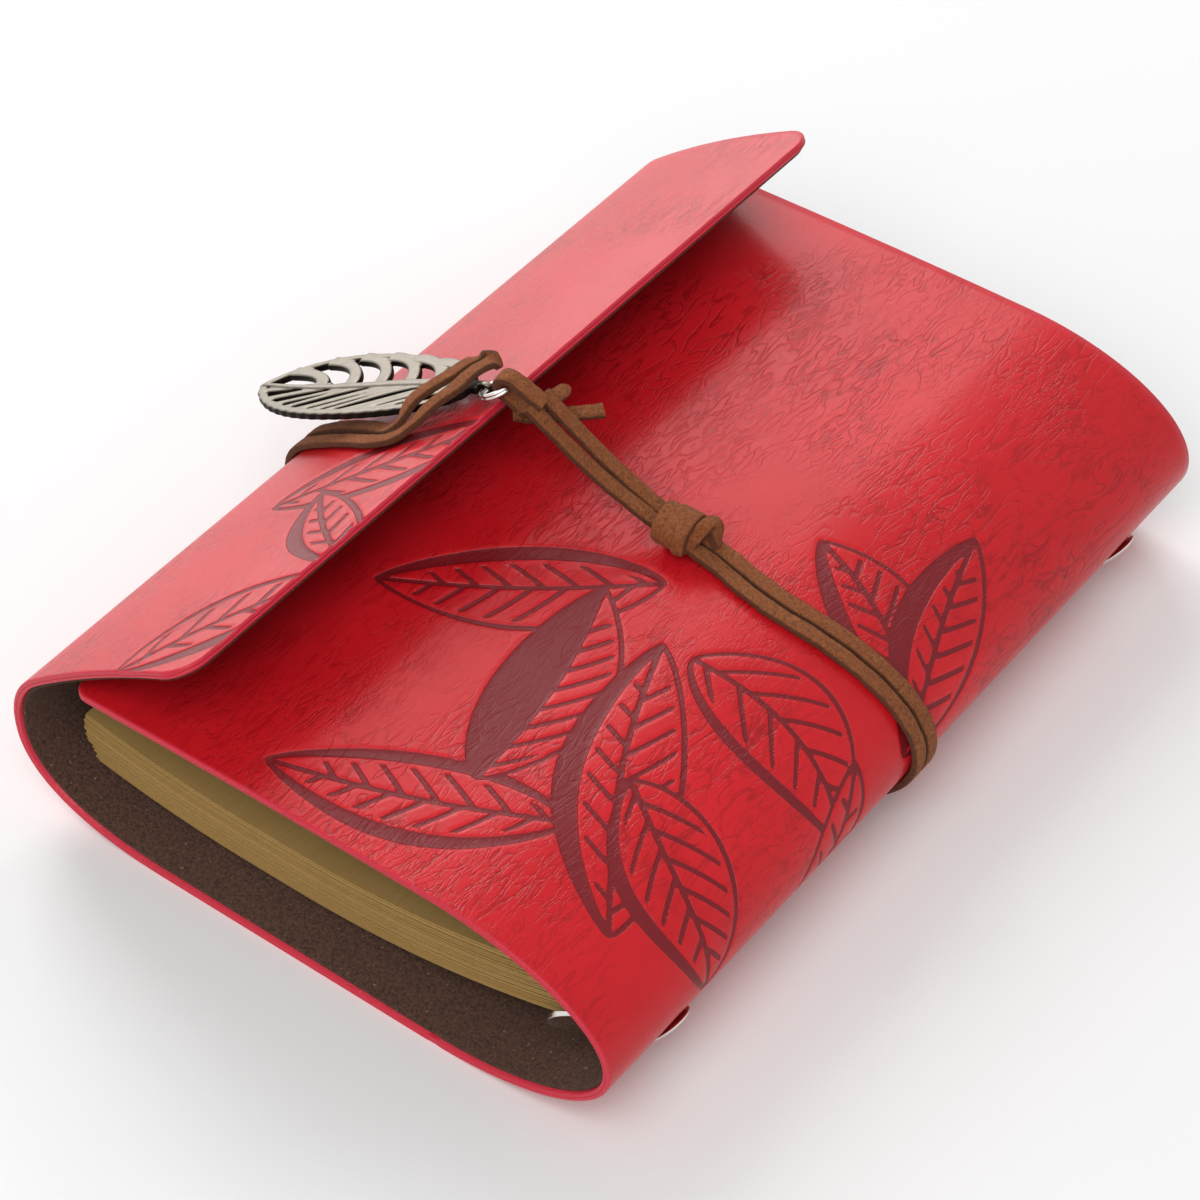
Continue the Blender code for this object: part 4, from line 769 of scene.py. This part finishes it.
# Closing loop: both strands go on under the book, up over the fold and along the flap; the folded end
# climbs over the leaf's stem and turns back, on edge, on its far side. Along the flap, y and height, in mm.
LOOP = np.array([
    (2, -10.9, 1.0), (20, -13.0, 1.0), (33, -15.6, 1.0), (40.6, -17.5, 1.0), (44.8, -17.6, 2.4),
    (47.3, -15.0, 5.1), (49.4, -10.8, 5.7), (50.7, -7, 5.6), (51.1, -3.6, 5.5), (51.3, -1.2, 4.9),
    (51.7, 0.6, 4.0), (53.0, 1.8, 3.4), (54.3, 0.6, 3.6), (54.6, -1.2, 4.2), (54.6, -3.8, 4.95),
    (54.5, -7, 5.15), (54.1, -10.6, 4.75), (52.0, -14.8, 4.2), (49.6, -18.0, 2.7), (45.6, -20.4, 1.2),
    (40.0, -21.2, 1.0), (30, -19.4, 1.0), (15, -16.7, 1.0), (2, -14.4, 1.0)])
LOOP_TURN, LOOP_TIPS, LOOP_LEAN, LOOP_LEANS = (53.0, 0.2), (-2.2, 0.8), math.radians(9), (41, 47)
LOOP_STEP, LOOP_ROUNDING, LOOP_PART = 0.45, 8, 0.05 * MM
loop_route = curve(LOOP, LOOP_STEP)
for _ in range(LOOP_ROUNDING):
    loop_route[1:-1] = (loop_route[:-2] + 2 * loop_route[1:-1] + loop_route[2:]) / 4
points, normals = with_normals(back, flap_start + loop_route[:, 0] * MM)
loop_path = in_space(points + normals * loop_route[:, 2:] * MM, loop_route[:, 1] * MM)
flap_up = in_space(normals, 0)
# Both strands lean to the spine as they climb, and tip on edge round the turn with their face outwards
spine_way = np.cross([0, 1, 0], flap_up)
lean = LOOP_LEAN * ease(*LOOP_LEANS, loop_route[:, :1])
leaning = flap_up * np.cos(lean) + spine_way * np.sin(lean)
from_turn = loop_route[:, :2] - LOOP_TURN
outwards = unit(spine_way * from_turn[:, :1] + np.array([0, 1, 0]) * from_turn[:, 1:])
tipped = math.pi / 2 * ease(*LOOP_TIPS, loop_route[:, 1:2])
loop_up = leaning * np.cos(tipped) + outwards * np.sin(tipped)
rise, rise_up = on_line(back, UNDER + LOOP_PART, flap_start - LINE_STEP, STRAND_OFFSET, 110)
fall, fall_up = on_line(back, UNDER + LOOP_PART, flap_start - LINE_STEP, -STRAND_OFFSET, 110)
rough = np.concatenate([rise, loop_path, fall[::-1]])
total = lengths(rough)[-1]
even = np.linspace(0, total, int(total / (LOOP_STEP * MM)))
path = at(rough, even)
loop = lace_piece("strap_loop_lace", path, at(rough, even, np.concatenate([rise_up, loop_up, fall_up[::-1]])))
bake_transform(loop)
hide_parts("strap_loop", "strap_under_near", "strap_under_far")

# Knot: an overhand knot in both strands, pulled tight: three turns of lace round the strands,
# and a folded bight that comes out at the top on the spine side and tucks under itself.
KNOT_GIRTH = np.array([3.9, 2.75]) * MM
KNOT_START, KNOT_PITCH, KNOT_TURNS, KNOT_STEP = -4.2 * MM, 2.15 * MM, (0.15, 2.75), 0.35 * MM
KNOT_SECTION = oval(2.9 * MM, 1.5 * MM, 24, 0.5)
BIGHT = np.array([(2.6, 0.6, 3.3), (4.2, 1.9, 3.0), (6.0, 2.4, 1.9), (6.9, 2.2, 0.2), (5.6, 1.4, -1.2),
                  (3.2, 0.4, -1.4)]) * MM
BIGHT_UP = np.array([(0.1, 0, 1), (0.2, 0, 1), (0.75, 0, 0.7), (1, 0, 0), (0.6, 0, -0.8), (0, 0, -1)])
turns = np.linspace(*KNOT_TURNS, 130)[:-8]
round_knot = np.stack([np.cos(turns * 2 * math.pi), np.sin(turns * 2 * math.pi)], 1)
helix = np.column_stack([KNOT_START + KNOT_PITCH * turns, round_knot * KNOT_GIRTH])
helix_up = unit(np.column_stack([0 * turns, round_knot / KNOT_GIRTH]))
rough, rough_up = np.concatenate([helix, BIGHT])[::3], np.concatenate([helix_up, BIGHT_UP])[::3]
path, ups = curve_with_ups(rough, rough_up, KNOT_STEP)
knot = lace_piece("strap_knot_lace", KNOT + path, ups, KNOT_SECTION)
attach(knot, "cover")
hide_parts("strap_knot")

# Hitch and strands from the knot to the ring: each strand goes over the flap's edge, turns round the
# ring's rim and ends in a cut tail that hangs out below it on the far side.
EYE = np.array([-25.363, -6.6, 58.743]) * MM
EYE_MIDDLE_DROP = 0.5 * MM
LEAF_UP, LEAF_DOWN = np.array([-0.446561, 0, 0.894718]), np.array([-0.8940, -0.0401, -0.4462])
LEAF_ACROSS = np.cross(LEAF_DOWN, LEAF_UP)
EYE_MIDDLE = EYE - LEAF_UP * EYE_MIDDLE_DROP
RING_TILT, RING_R = math.radians(6), 3.2 * MM
RING_WAY = LEAF_UP * math.sin(RING_TILT) - LEAF_DOWN * math.cos(RING_TILT)
RING_MID = EYE_MIDDLE + RING_WAY * RING_R
RIM_POINT = RING_MID + RING_WAY * RING_R
PULL = unit(KNOT - RIM_POINT)
LIFT = np.array([-PULL[2], 0, PULL[0]])


def by_ring(route):
    """World points from places by the ring: along the strap's pull, y and height from the rim, in mm."""
    route = np.asarray(route, float) * MM
    return RIM_POINT + route[:, :1] * PULL + route[:, 2:] * LIFT + route[:, 1:2] * np.array([0, 1, 0])


HITCH_RADIUS, HITCH_STEP = 2.3, 0.4 * MM
HITCH_SECTION = oval(3.4 * MM, 1.5 * MM, LACE_POINTS, LACE_SQUARE)
bend = np.radians(np.linspace(-90, -270, 17))[:, None]
hitch_route = np.concatenate([
    [(5.2, 0, -HITCH_RADIUS), (4, 0, -HITCH_RADIUS)],
    HITCH_RADIUS * np.hstack([np.cos(bend), 0 * bend, np.sin(bend)]),
    [(4, 0, HITCH_RADIUS), (6.5, 0, 2.2)]])
hitch_up = np.concatenate([[-LIFT, -LIFT], np.cos(bend) * PULL + np.sin(bend) * LIFT, [LIFT, LIFT]])
path, ups = curve_with_ups(by_ring(hitch_route), hitch_up, HITCH_STEP)
hitch = lace_piece("strap_hitch_lace", path, ups, HITCH_SECTION)
TAIL_SECTION = oval(2.7 * MM, 1.3 * MM, LACE_POINTS, LACE_SQUARE)
# The short tail's end is cut round, and the long one's straight
TAILS = [
    ("short", (0.96, 0.86, 0.68, 0.4),
     [(3.4, -1.4, -1.5), (5.8, 1.2, -1.4), (6.1, 4, -1.4), (6.6, 9.4, -2.2)]),
    ("long", (1, 1, 1, 1),
     [(3.6, -1.6, -3.3), (6.6, 1.0, -3.4), (8.6, 3.6, -3.3), (13.8, 10.2, -1.8)])]
on_ring = [hitch]
for label, cut_end, route in TAILS:
    path = curve(by_ring(route), HITCH_STEP)
    taper = np.ones(len(path))
    taper[-len(cut_end):] = cut_end
    tail = lace_piece(f"strap_tail_{label}_lace", path, LIFT, TAIL_SECTION, taper)
    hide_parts(f"strap_tail_{label}")
    on_ring.append(tail)
STRAND_SAG, STRAND_SPREAD, STRAND_AHEAD = 1.2 * MM, 0.1 * MM, 5.0
KNOT_FACE, KNOT_DROP, KNOT_CLOSE = -4.6 * MM, -0.2 * MM, 0.8
for end, side, rim_height, pieces in (("near", -1.0, 1.3, []), ("far", 1.0, 2.1, on_ring)):
    at_rim = by_ring([(STRAND_AHEAD, side * STRAND_OFFSET / MM, rim_height)])[0]
    at_knot = KNOT + np.array([KNOT_FACE, side * STRAND_OFFSET * KNOT_CLOSE, KNOT_DROP])
    middle = (at_rim + at_knot) / 2 + np.array([0, side * STRAND_SPREAD, -STRAND_SAG])
    path = curve(np.stack([at_knot, middle, at_rim]), LINE_STEP)
    strand = lace_piece(f"strap_flap_{end}", path, LIFT)
    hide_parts(f"strap_flap_side_{end}")
    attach(strand, "flap")
for piece in on_ring:
    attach(piece, "flap")
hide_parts("strap_hitch")


# Split ring: two close turns of plated wire through the leaf's eye, with the strap hitched to its far rim.
# It is wound from spring wire, so the two turns lie on each other and part a little where they cross.
SPLIT_WIRE, SPLIT_HALF, SPLIT_TURNS, SPLIT_CROSSING = 0.85 * MM, 0.45 * MM, 0.98, 2.2
turns = np.linspace(-SPLIT_TURNS, SPLIT_TURNS, 160)[:, None]
angle = turns * 2 * math.pi
ring_axis = np.cross(RING_WAY, LEAF_ACROSS)
coil = (RING_MID + RING_R * (np.cos(angle) * RING_WAY + np.sin(angle) * LEAF_ACROSS)
        + SPLIT_HALF * np.tanh(SPLIT_CROSSING * turns) * ring_axis)
split_ring = new_piece("split_ring_wire", *swept(coil, ring_axis, oval(SPLIT_WIRE, SPLIT_WIRE, 14)), nickel)
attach(split_ring, "flap")
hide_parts("jump_ring")


# Leaf charm: an openwork leaf cast in pewter, with broad ribs and large openings on one half, close ribs
# on the other, a scalloped rim and an upright eye on its stem. It is antiqued, so hollows stay dark.
# Besides the patina in its hollows, its steep side walls are darkened by which way they face, as painted
# shade.
pewter, tree, shader, place = new_material("antique_pewter", {"Metallic": 1.0})
pits = add_node(tree, "TexNoise", {
    "Vector": place, "Scale": 1 / (1.6 * MM), "Detail": 6.0, "Roughness": 0.65})
# Darkening: patina in pits and hollows, and painted shade on the steep side walls
low = add_node(tree, "Attribute", output="Fac", attribute_name="patina_and_wall_shade")
stain_and_shade = add_node(tree, "Math", {0: pits, 1: 0.5, 2: low}, operation="MULTIPLY_ADD")
patina_and_shade = add_node(tree, "MapRange", {"Value": stain_and_shade, "From Min": 0.25, "From Max": 0.95})
cast = add_node(tree, "Mix", {"Factor": patina_and_shade, "A": linear("7D756A"), "B": linear("241F1A")},
                data_type="RGBA")
dull = add_node(tree, "MapRange", {
    "Value": stain_and_shade, "From Min": 0.2, "From Max": 0.9, "To Min": 0.36, "To Max": 0.6})
skin = add_node(tree, "Bump", {"Height": pits, "Strength": 0.35, "Distance": 0.25 * MM})
fill_inputs(tree, shader, {"Base Color": cast, "Roughness": dull, "Normal": skin})

LEAF_LENGTH, LEAF_STEM, LEAF_HALF, STEM_HALF = 58 * MM, 4.2 * MM, 10.8 * MM, 1.4 * MM
LEAF_THICK, LEAF_CUP = 1.5 * MM, 0.5 * MM
RIM_WIDTH, RIM_INSET, RIM_TIP, RIM_CROSS = 1.45 * MM, 0.75 * MM, 0.8 * MM, 0.4 * MM
LOBE_LENGTH, LOBE_DRIFT, LOBE_SWAY = 2.9 * MM, 7 * MM, 0.6
MIDRIB_WIDTH, MIDRIB_THICK, MIDRIB_RAISE, MIDRIB_END = 2.2 * MM, 1.75 * MM, 0.15 * MM, 1.2 * MM
MIDRIB_SWAY = 0.9 * MM
# Ribs of each half: how many, spacing, run along the leaf, width, and how far they end from tip and edge
BROAD_RIBS, BROAD_PITCH, BROAD_RUN, BROAD_WIDTH = 6, 6.4 * MM, 11 * MM, 2.0 * MM
BROAD_TIP, BROAD_EDGE = 2 * MM, 0.9 * MM
CLOSE_RIBS, CLOSE_PITCH, CLOSE_RUN, CLOSE_WIDTH = 11, 3.9 * MM, 17 * MM, 1.5 * MM
CLOSE_TIP, CLOSE_EDGE, CLOSE_VARIES = 1.6 * MM, 0.8 * MM, 0.25 * MM
# Heights on the cupped blade for the hollows' patina, and face slopes between which walls take painted shade
HOLLOW_HEIGHTS, WALL_SHADE_SLOPES = (0.5 * MM, -0.2 * MM), (0.8, 0.2)
EYE_RADIUS, EYE_SECTION = 1.35 * MM, oval(1.3 * MM, 0.75 * MM, 12, 0.8)
CAST_GRID = 0.175 * MM


def leaf_half_width(a):
    """Half width at a distance from the eye: a stem that fades out, and sin(pi t^1.23)^e for the blade.

    The power e grows from 0.38 at the stem to 0.6 at the tip, which makes the tip the more pointed end.
    """
    t = np.clip((a - LEAF_STEM) / (LEAF_LENGTH - LEAF_STEM), 0, 1)
    blade = np.abs(np.sin(math.pi * t ** 1.23)) ** (0.38 + 0.22 * t ** 2)
    return STEM_HALF * np.sqrt(1 - t) + (LEAF_HALF - STEM_HALF) * blade


def cupped(b):
    """Height of the blade's middle at a distance across: a square law about half the cup's depth."""
    return LEAF_CUP * ((b / LEAF_HALF) ** 2 - 0.5)


def bar(a, b, width, taper, thick=LEAF_THICK, raised=0.0, square=0.4):
    """A bar of the openwork through places down from the eye and across, on the cupped blade."""
    path = EYE + a[:, None] * LEAF_DOWN + b[:, None] * LEAF_ACROSS + (raised + cupped(b))[:, None] * LEAF_UP
    return swept(path, LEAF_UP, oval(width, thick, 20, square), taper)


bars = []
way = (1 - np.cos(np.linspace(0, math.pi, 130))) / 2
rim_a = LEAF_STEM + (LEAF_LENGTH - RIM_TIP - LEAF_STEM) * way
rim_b = leaf_half_width(LEAF_STEM + (LEAF_LENGTH - LEAF_STEM) * way) - RIM_INSET
rim_b = np.maximum(rim_b, -RIM_CROSS)
rim_s = lengths(np.stack([rim_a, rim_b, cupped(rim_b)], 1))
for side, depth in ((1, 0.12), (-1, 0.34)):
    lobes = np.abs(np.sin(rim_s / LOBE_LENGTH * math.pi + LOBE_SWAY * np.sin(rim_a / LOBE_DRIFT)))
    bars.append(bar(rim_a, side * rim_b, RIM_WIDTH, 1 + depth * lobes))
rib_a = np.linspace(MIDRIB_END, LEAF_LENGTH - MIDRIB_END, 60)
rib_b = MIDRIB_SWAY * np.sin(rib_a / LEAF_LENGTH * 2 * math.pi)
bars.append(bar(rib_a, rib_b, MIDRIB_WIDTH, np.linspace(1.2, 0.5, 60), MIDRIB_THICK, MIDRIB_RAISE, 0.5))
v = np.linspace(0, math.pi / 2, 24)
for k in range(BROAD_RIBS):
    root = LEAF_STEM + BROAD_PITCH * (k + 0.35) ** 1.06
    tip_a = min(root + BROAD_RUN, LEAF_LENGTH - BROAD_TIP)
    reach = leaf_half_width(tip_a) - BROAD_EDGE
    bars.append(bar(root + (tip_a - root) * (1 - np.cos(v)), reach * np.sin(v), BROAD_WIDTH,
                    1.0 + 0.5 * np.cos(v) ** 4 + 0.55 * np.sin(v) ** 6))
for k in range(CLOSE_RIBS):
    root = LEAF_STEM + CLOSE_PITCH * k
    tip_a = min(root + CLOSE_RUN, LEAF_LENGTH - CLOSE_TIP)
    reach = leaf_half_width(tip_a) - CLOSE_EDGE
    power = 1.35 + 0.2 * math.sin(2.4 * k)
    bars.append(bar(root + (tip_a - root) * np.sin(v) ** 1.1, -reach * np.sin(v) ** power,
                    CLOSE_WIDTH + CLOSE_VARIES * math.sin(1.7 * k), 1.2 - 0.3 * np.sin(2 * v)))
angle = np.linspace(0, 2 * math.pi, 49)[:, None]
outs = np.cos(angle) * LEAF_DOWN + np.sin(angle) * LEAF_UP
bars.append(swept(EYE_MIDDLE + EYE_RADIUS * outs, outs, EYE_SECTION))
raw = new_piece("leaf_bars", *joined(bars), pewter)
fuse = raw.modifiers.new("fuse", "REMESH")
fuse.mode = "VOXEL"
fuse.voxel_size = CAST_GRID
soften = raw.modifiers.new("soften", "SMOOTH")
soften.factor = 0.4
soften.iterations = 1
cast_mesh = bpy.data.meshes.new_from_object(raw.evaluated_get(bpy.context.evaluated_depsgraph_get()))
bpy.data.objects.remove(raw)
cast_mesh.name = "leaf_charm_cast"
cast_mesh.shade_smooth()
charm = bpy.data.objects.new("leaf_charm_cast", cast_mesh)
bpy.context.scene.collection.objects.link(charm)
spots, facing = np.zeros((2, len(cast_mesh.vertices) * 3))
cast_mesh.vertices.foreach_get("co", spots)
cast_mesh.vertices.foreach_get("normal", facing)
spots = spots.reshape(-1, 3) - EYE
height = spots @ LEAF_UP - cupped(spots @ LEAF_ACROSS)
slope = facing.reshape(-1, 3) @ LEAF_UP
# Patina below the blade's top face, and painted shade on faces that turn away from the leaf's up
patina_and_wall_shade = np.maximum(ease(*HOLLOW_HEIGHTS, height), ease(*WALL_SHADE_SLOPES, slope))
mark(cast_mesh, "patina_and_wall_shade", patina_and_wall_shade)
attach(charm, "leaf")
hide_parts("leaf_charm")


# Studio: a white sheet under the book that fades into white air, a large soft light over the near side,
# a smaller one over the far side, and two low ones behind for the sheen on the fold.
paper, tree, shader, place = new_material("studio_white", {"Roughness": 0.8, "Base Color": linear("F7F7F7")})
reach = add_node(tree, "VectorMath", {0: place}, operation="LENGTH")
fade = add_node(tree, "MapRange", {"Value": reach, "From Min": 0.10, "From Max": 0.36},
                interpolation_type="SMOOTHSTEP")
clear = add_node(tree, "BsdfTransparent")
blended = add_node(tree, "MixShader", {0: fade, 1: shader.outputs[0], 2: clear})
fill_inputs(tree, tree.nodes["Material Output"], {"Surface": blended})
floor = new_piece("studio_floor", [(-1, -1, 0), (1, -1, 0), (1, 1, 0), (-1, 1, 0)], [[0, 1, 2, 3]], paper)
world = bpy.data.worlds.new("studio_air")
bpy.context.scene.world = world
world.use_nodes = True
tree = world.node_tree
rays = tree.nodes.new("ShaderNodeLightPath").outputs
seen = rays["Is Camera Ray"]
for mirrored in (rays["Is Glossy Ray"], rays["Is Transmission Ray"]):
    seen = add_node(tree, "Math", {0: seen, 1: mirrored}, operation="MAXIMUM")
level = add_node(tree, "MapRange", {"Value": seen, "To Min": 0.36, "To Max": 1.0})
fill_inputs(tree, tree.nodes["Background"], {"Strength": level, "Color": linear("FFFFFF")})
# Lamps: name, place, side of the square, power in watts
LAMPS = [("softbox_fill", (0.35, -0.80, 1.10), 1.0, 11.0), ("softbox_key", (-1.0, 0.55, 0.85), 0.6, 7.0),
         ("strip_back", (-0.45, 0.76, 0.70), 0.22, 1.2), ("panel_low", (-1.15, 0.75, 0.30), 0.8, 3.5)]
BOOK_MIDDLE = Vector((0, 0, 0.02))
for name, where, size, power in LAMPS:
    lamp = bpy.data.lights.new(name, "AREA")
    lamp.shape = "SQUARE"
    lamp.size = size
    lamp.energy = power
    box = bpy.data.objects.new(name, lamp)
    box.location = where
    box.rotation_mode = "QUATERNION"
    box.rotation_quaternion = (BOOK_MIDDLE - Vector(where)).to_track_quat("-Z", "Y")
    bpy.context.scene.collection.objects.link(box)
SENSOR, VIEW_ANGLE = 36.0, math.radians(18.84)
CAMERA_PLACE = (0.27677, -0.37289, 0.47990)
CAMERA_TURN, CAMERA_TILT = math.radians(37.086), math.radians(44.961)
camera = bpy.data.cameras.new("camera")
camera.sensor_width = SENSOR
camera.lens = SENSOR / 2 / math.tan(VIEW_ANGLE / 2)
viewer = bpy.data.objects.new("camera", camera)
viewer.location = CAMERA_PLACE
away = Vector((math.sin(CAMERA_TURN) * math.cos(CAMERA_TILT), -math.cos(CAMERA_TURN) * math.cos(CAMERA_TILT),
               math.sin(CAMERA_TILT)))
viewer.rotation_mode = "QUATERNION"
viewer.rotation_quaternion = (-away).to_track_quat("-Z", "Y")
bpy.context.scene.collection.objects.link(viewer)
bpy.context.scene.camera = viewer
bpy.context.scene.view_settings.view_transform = "Standard"
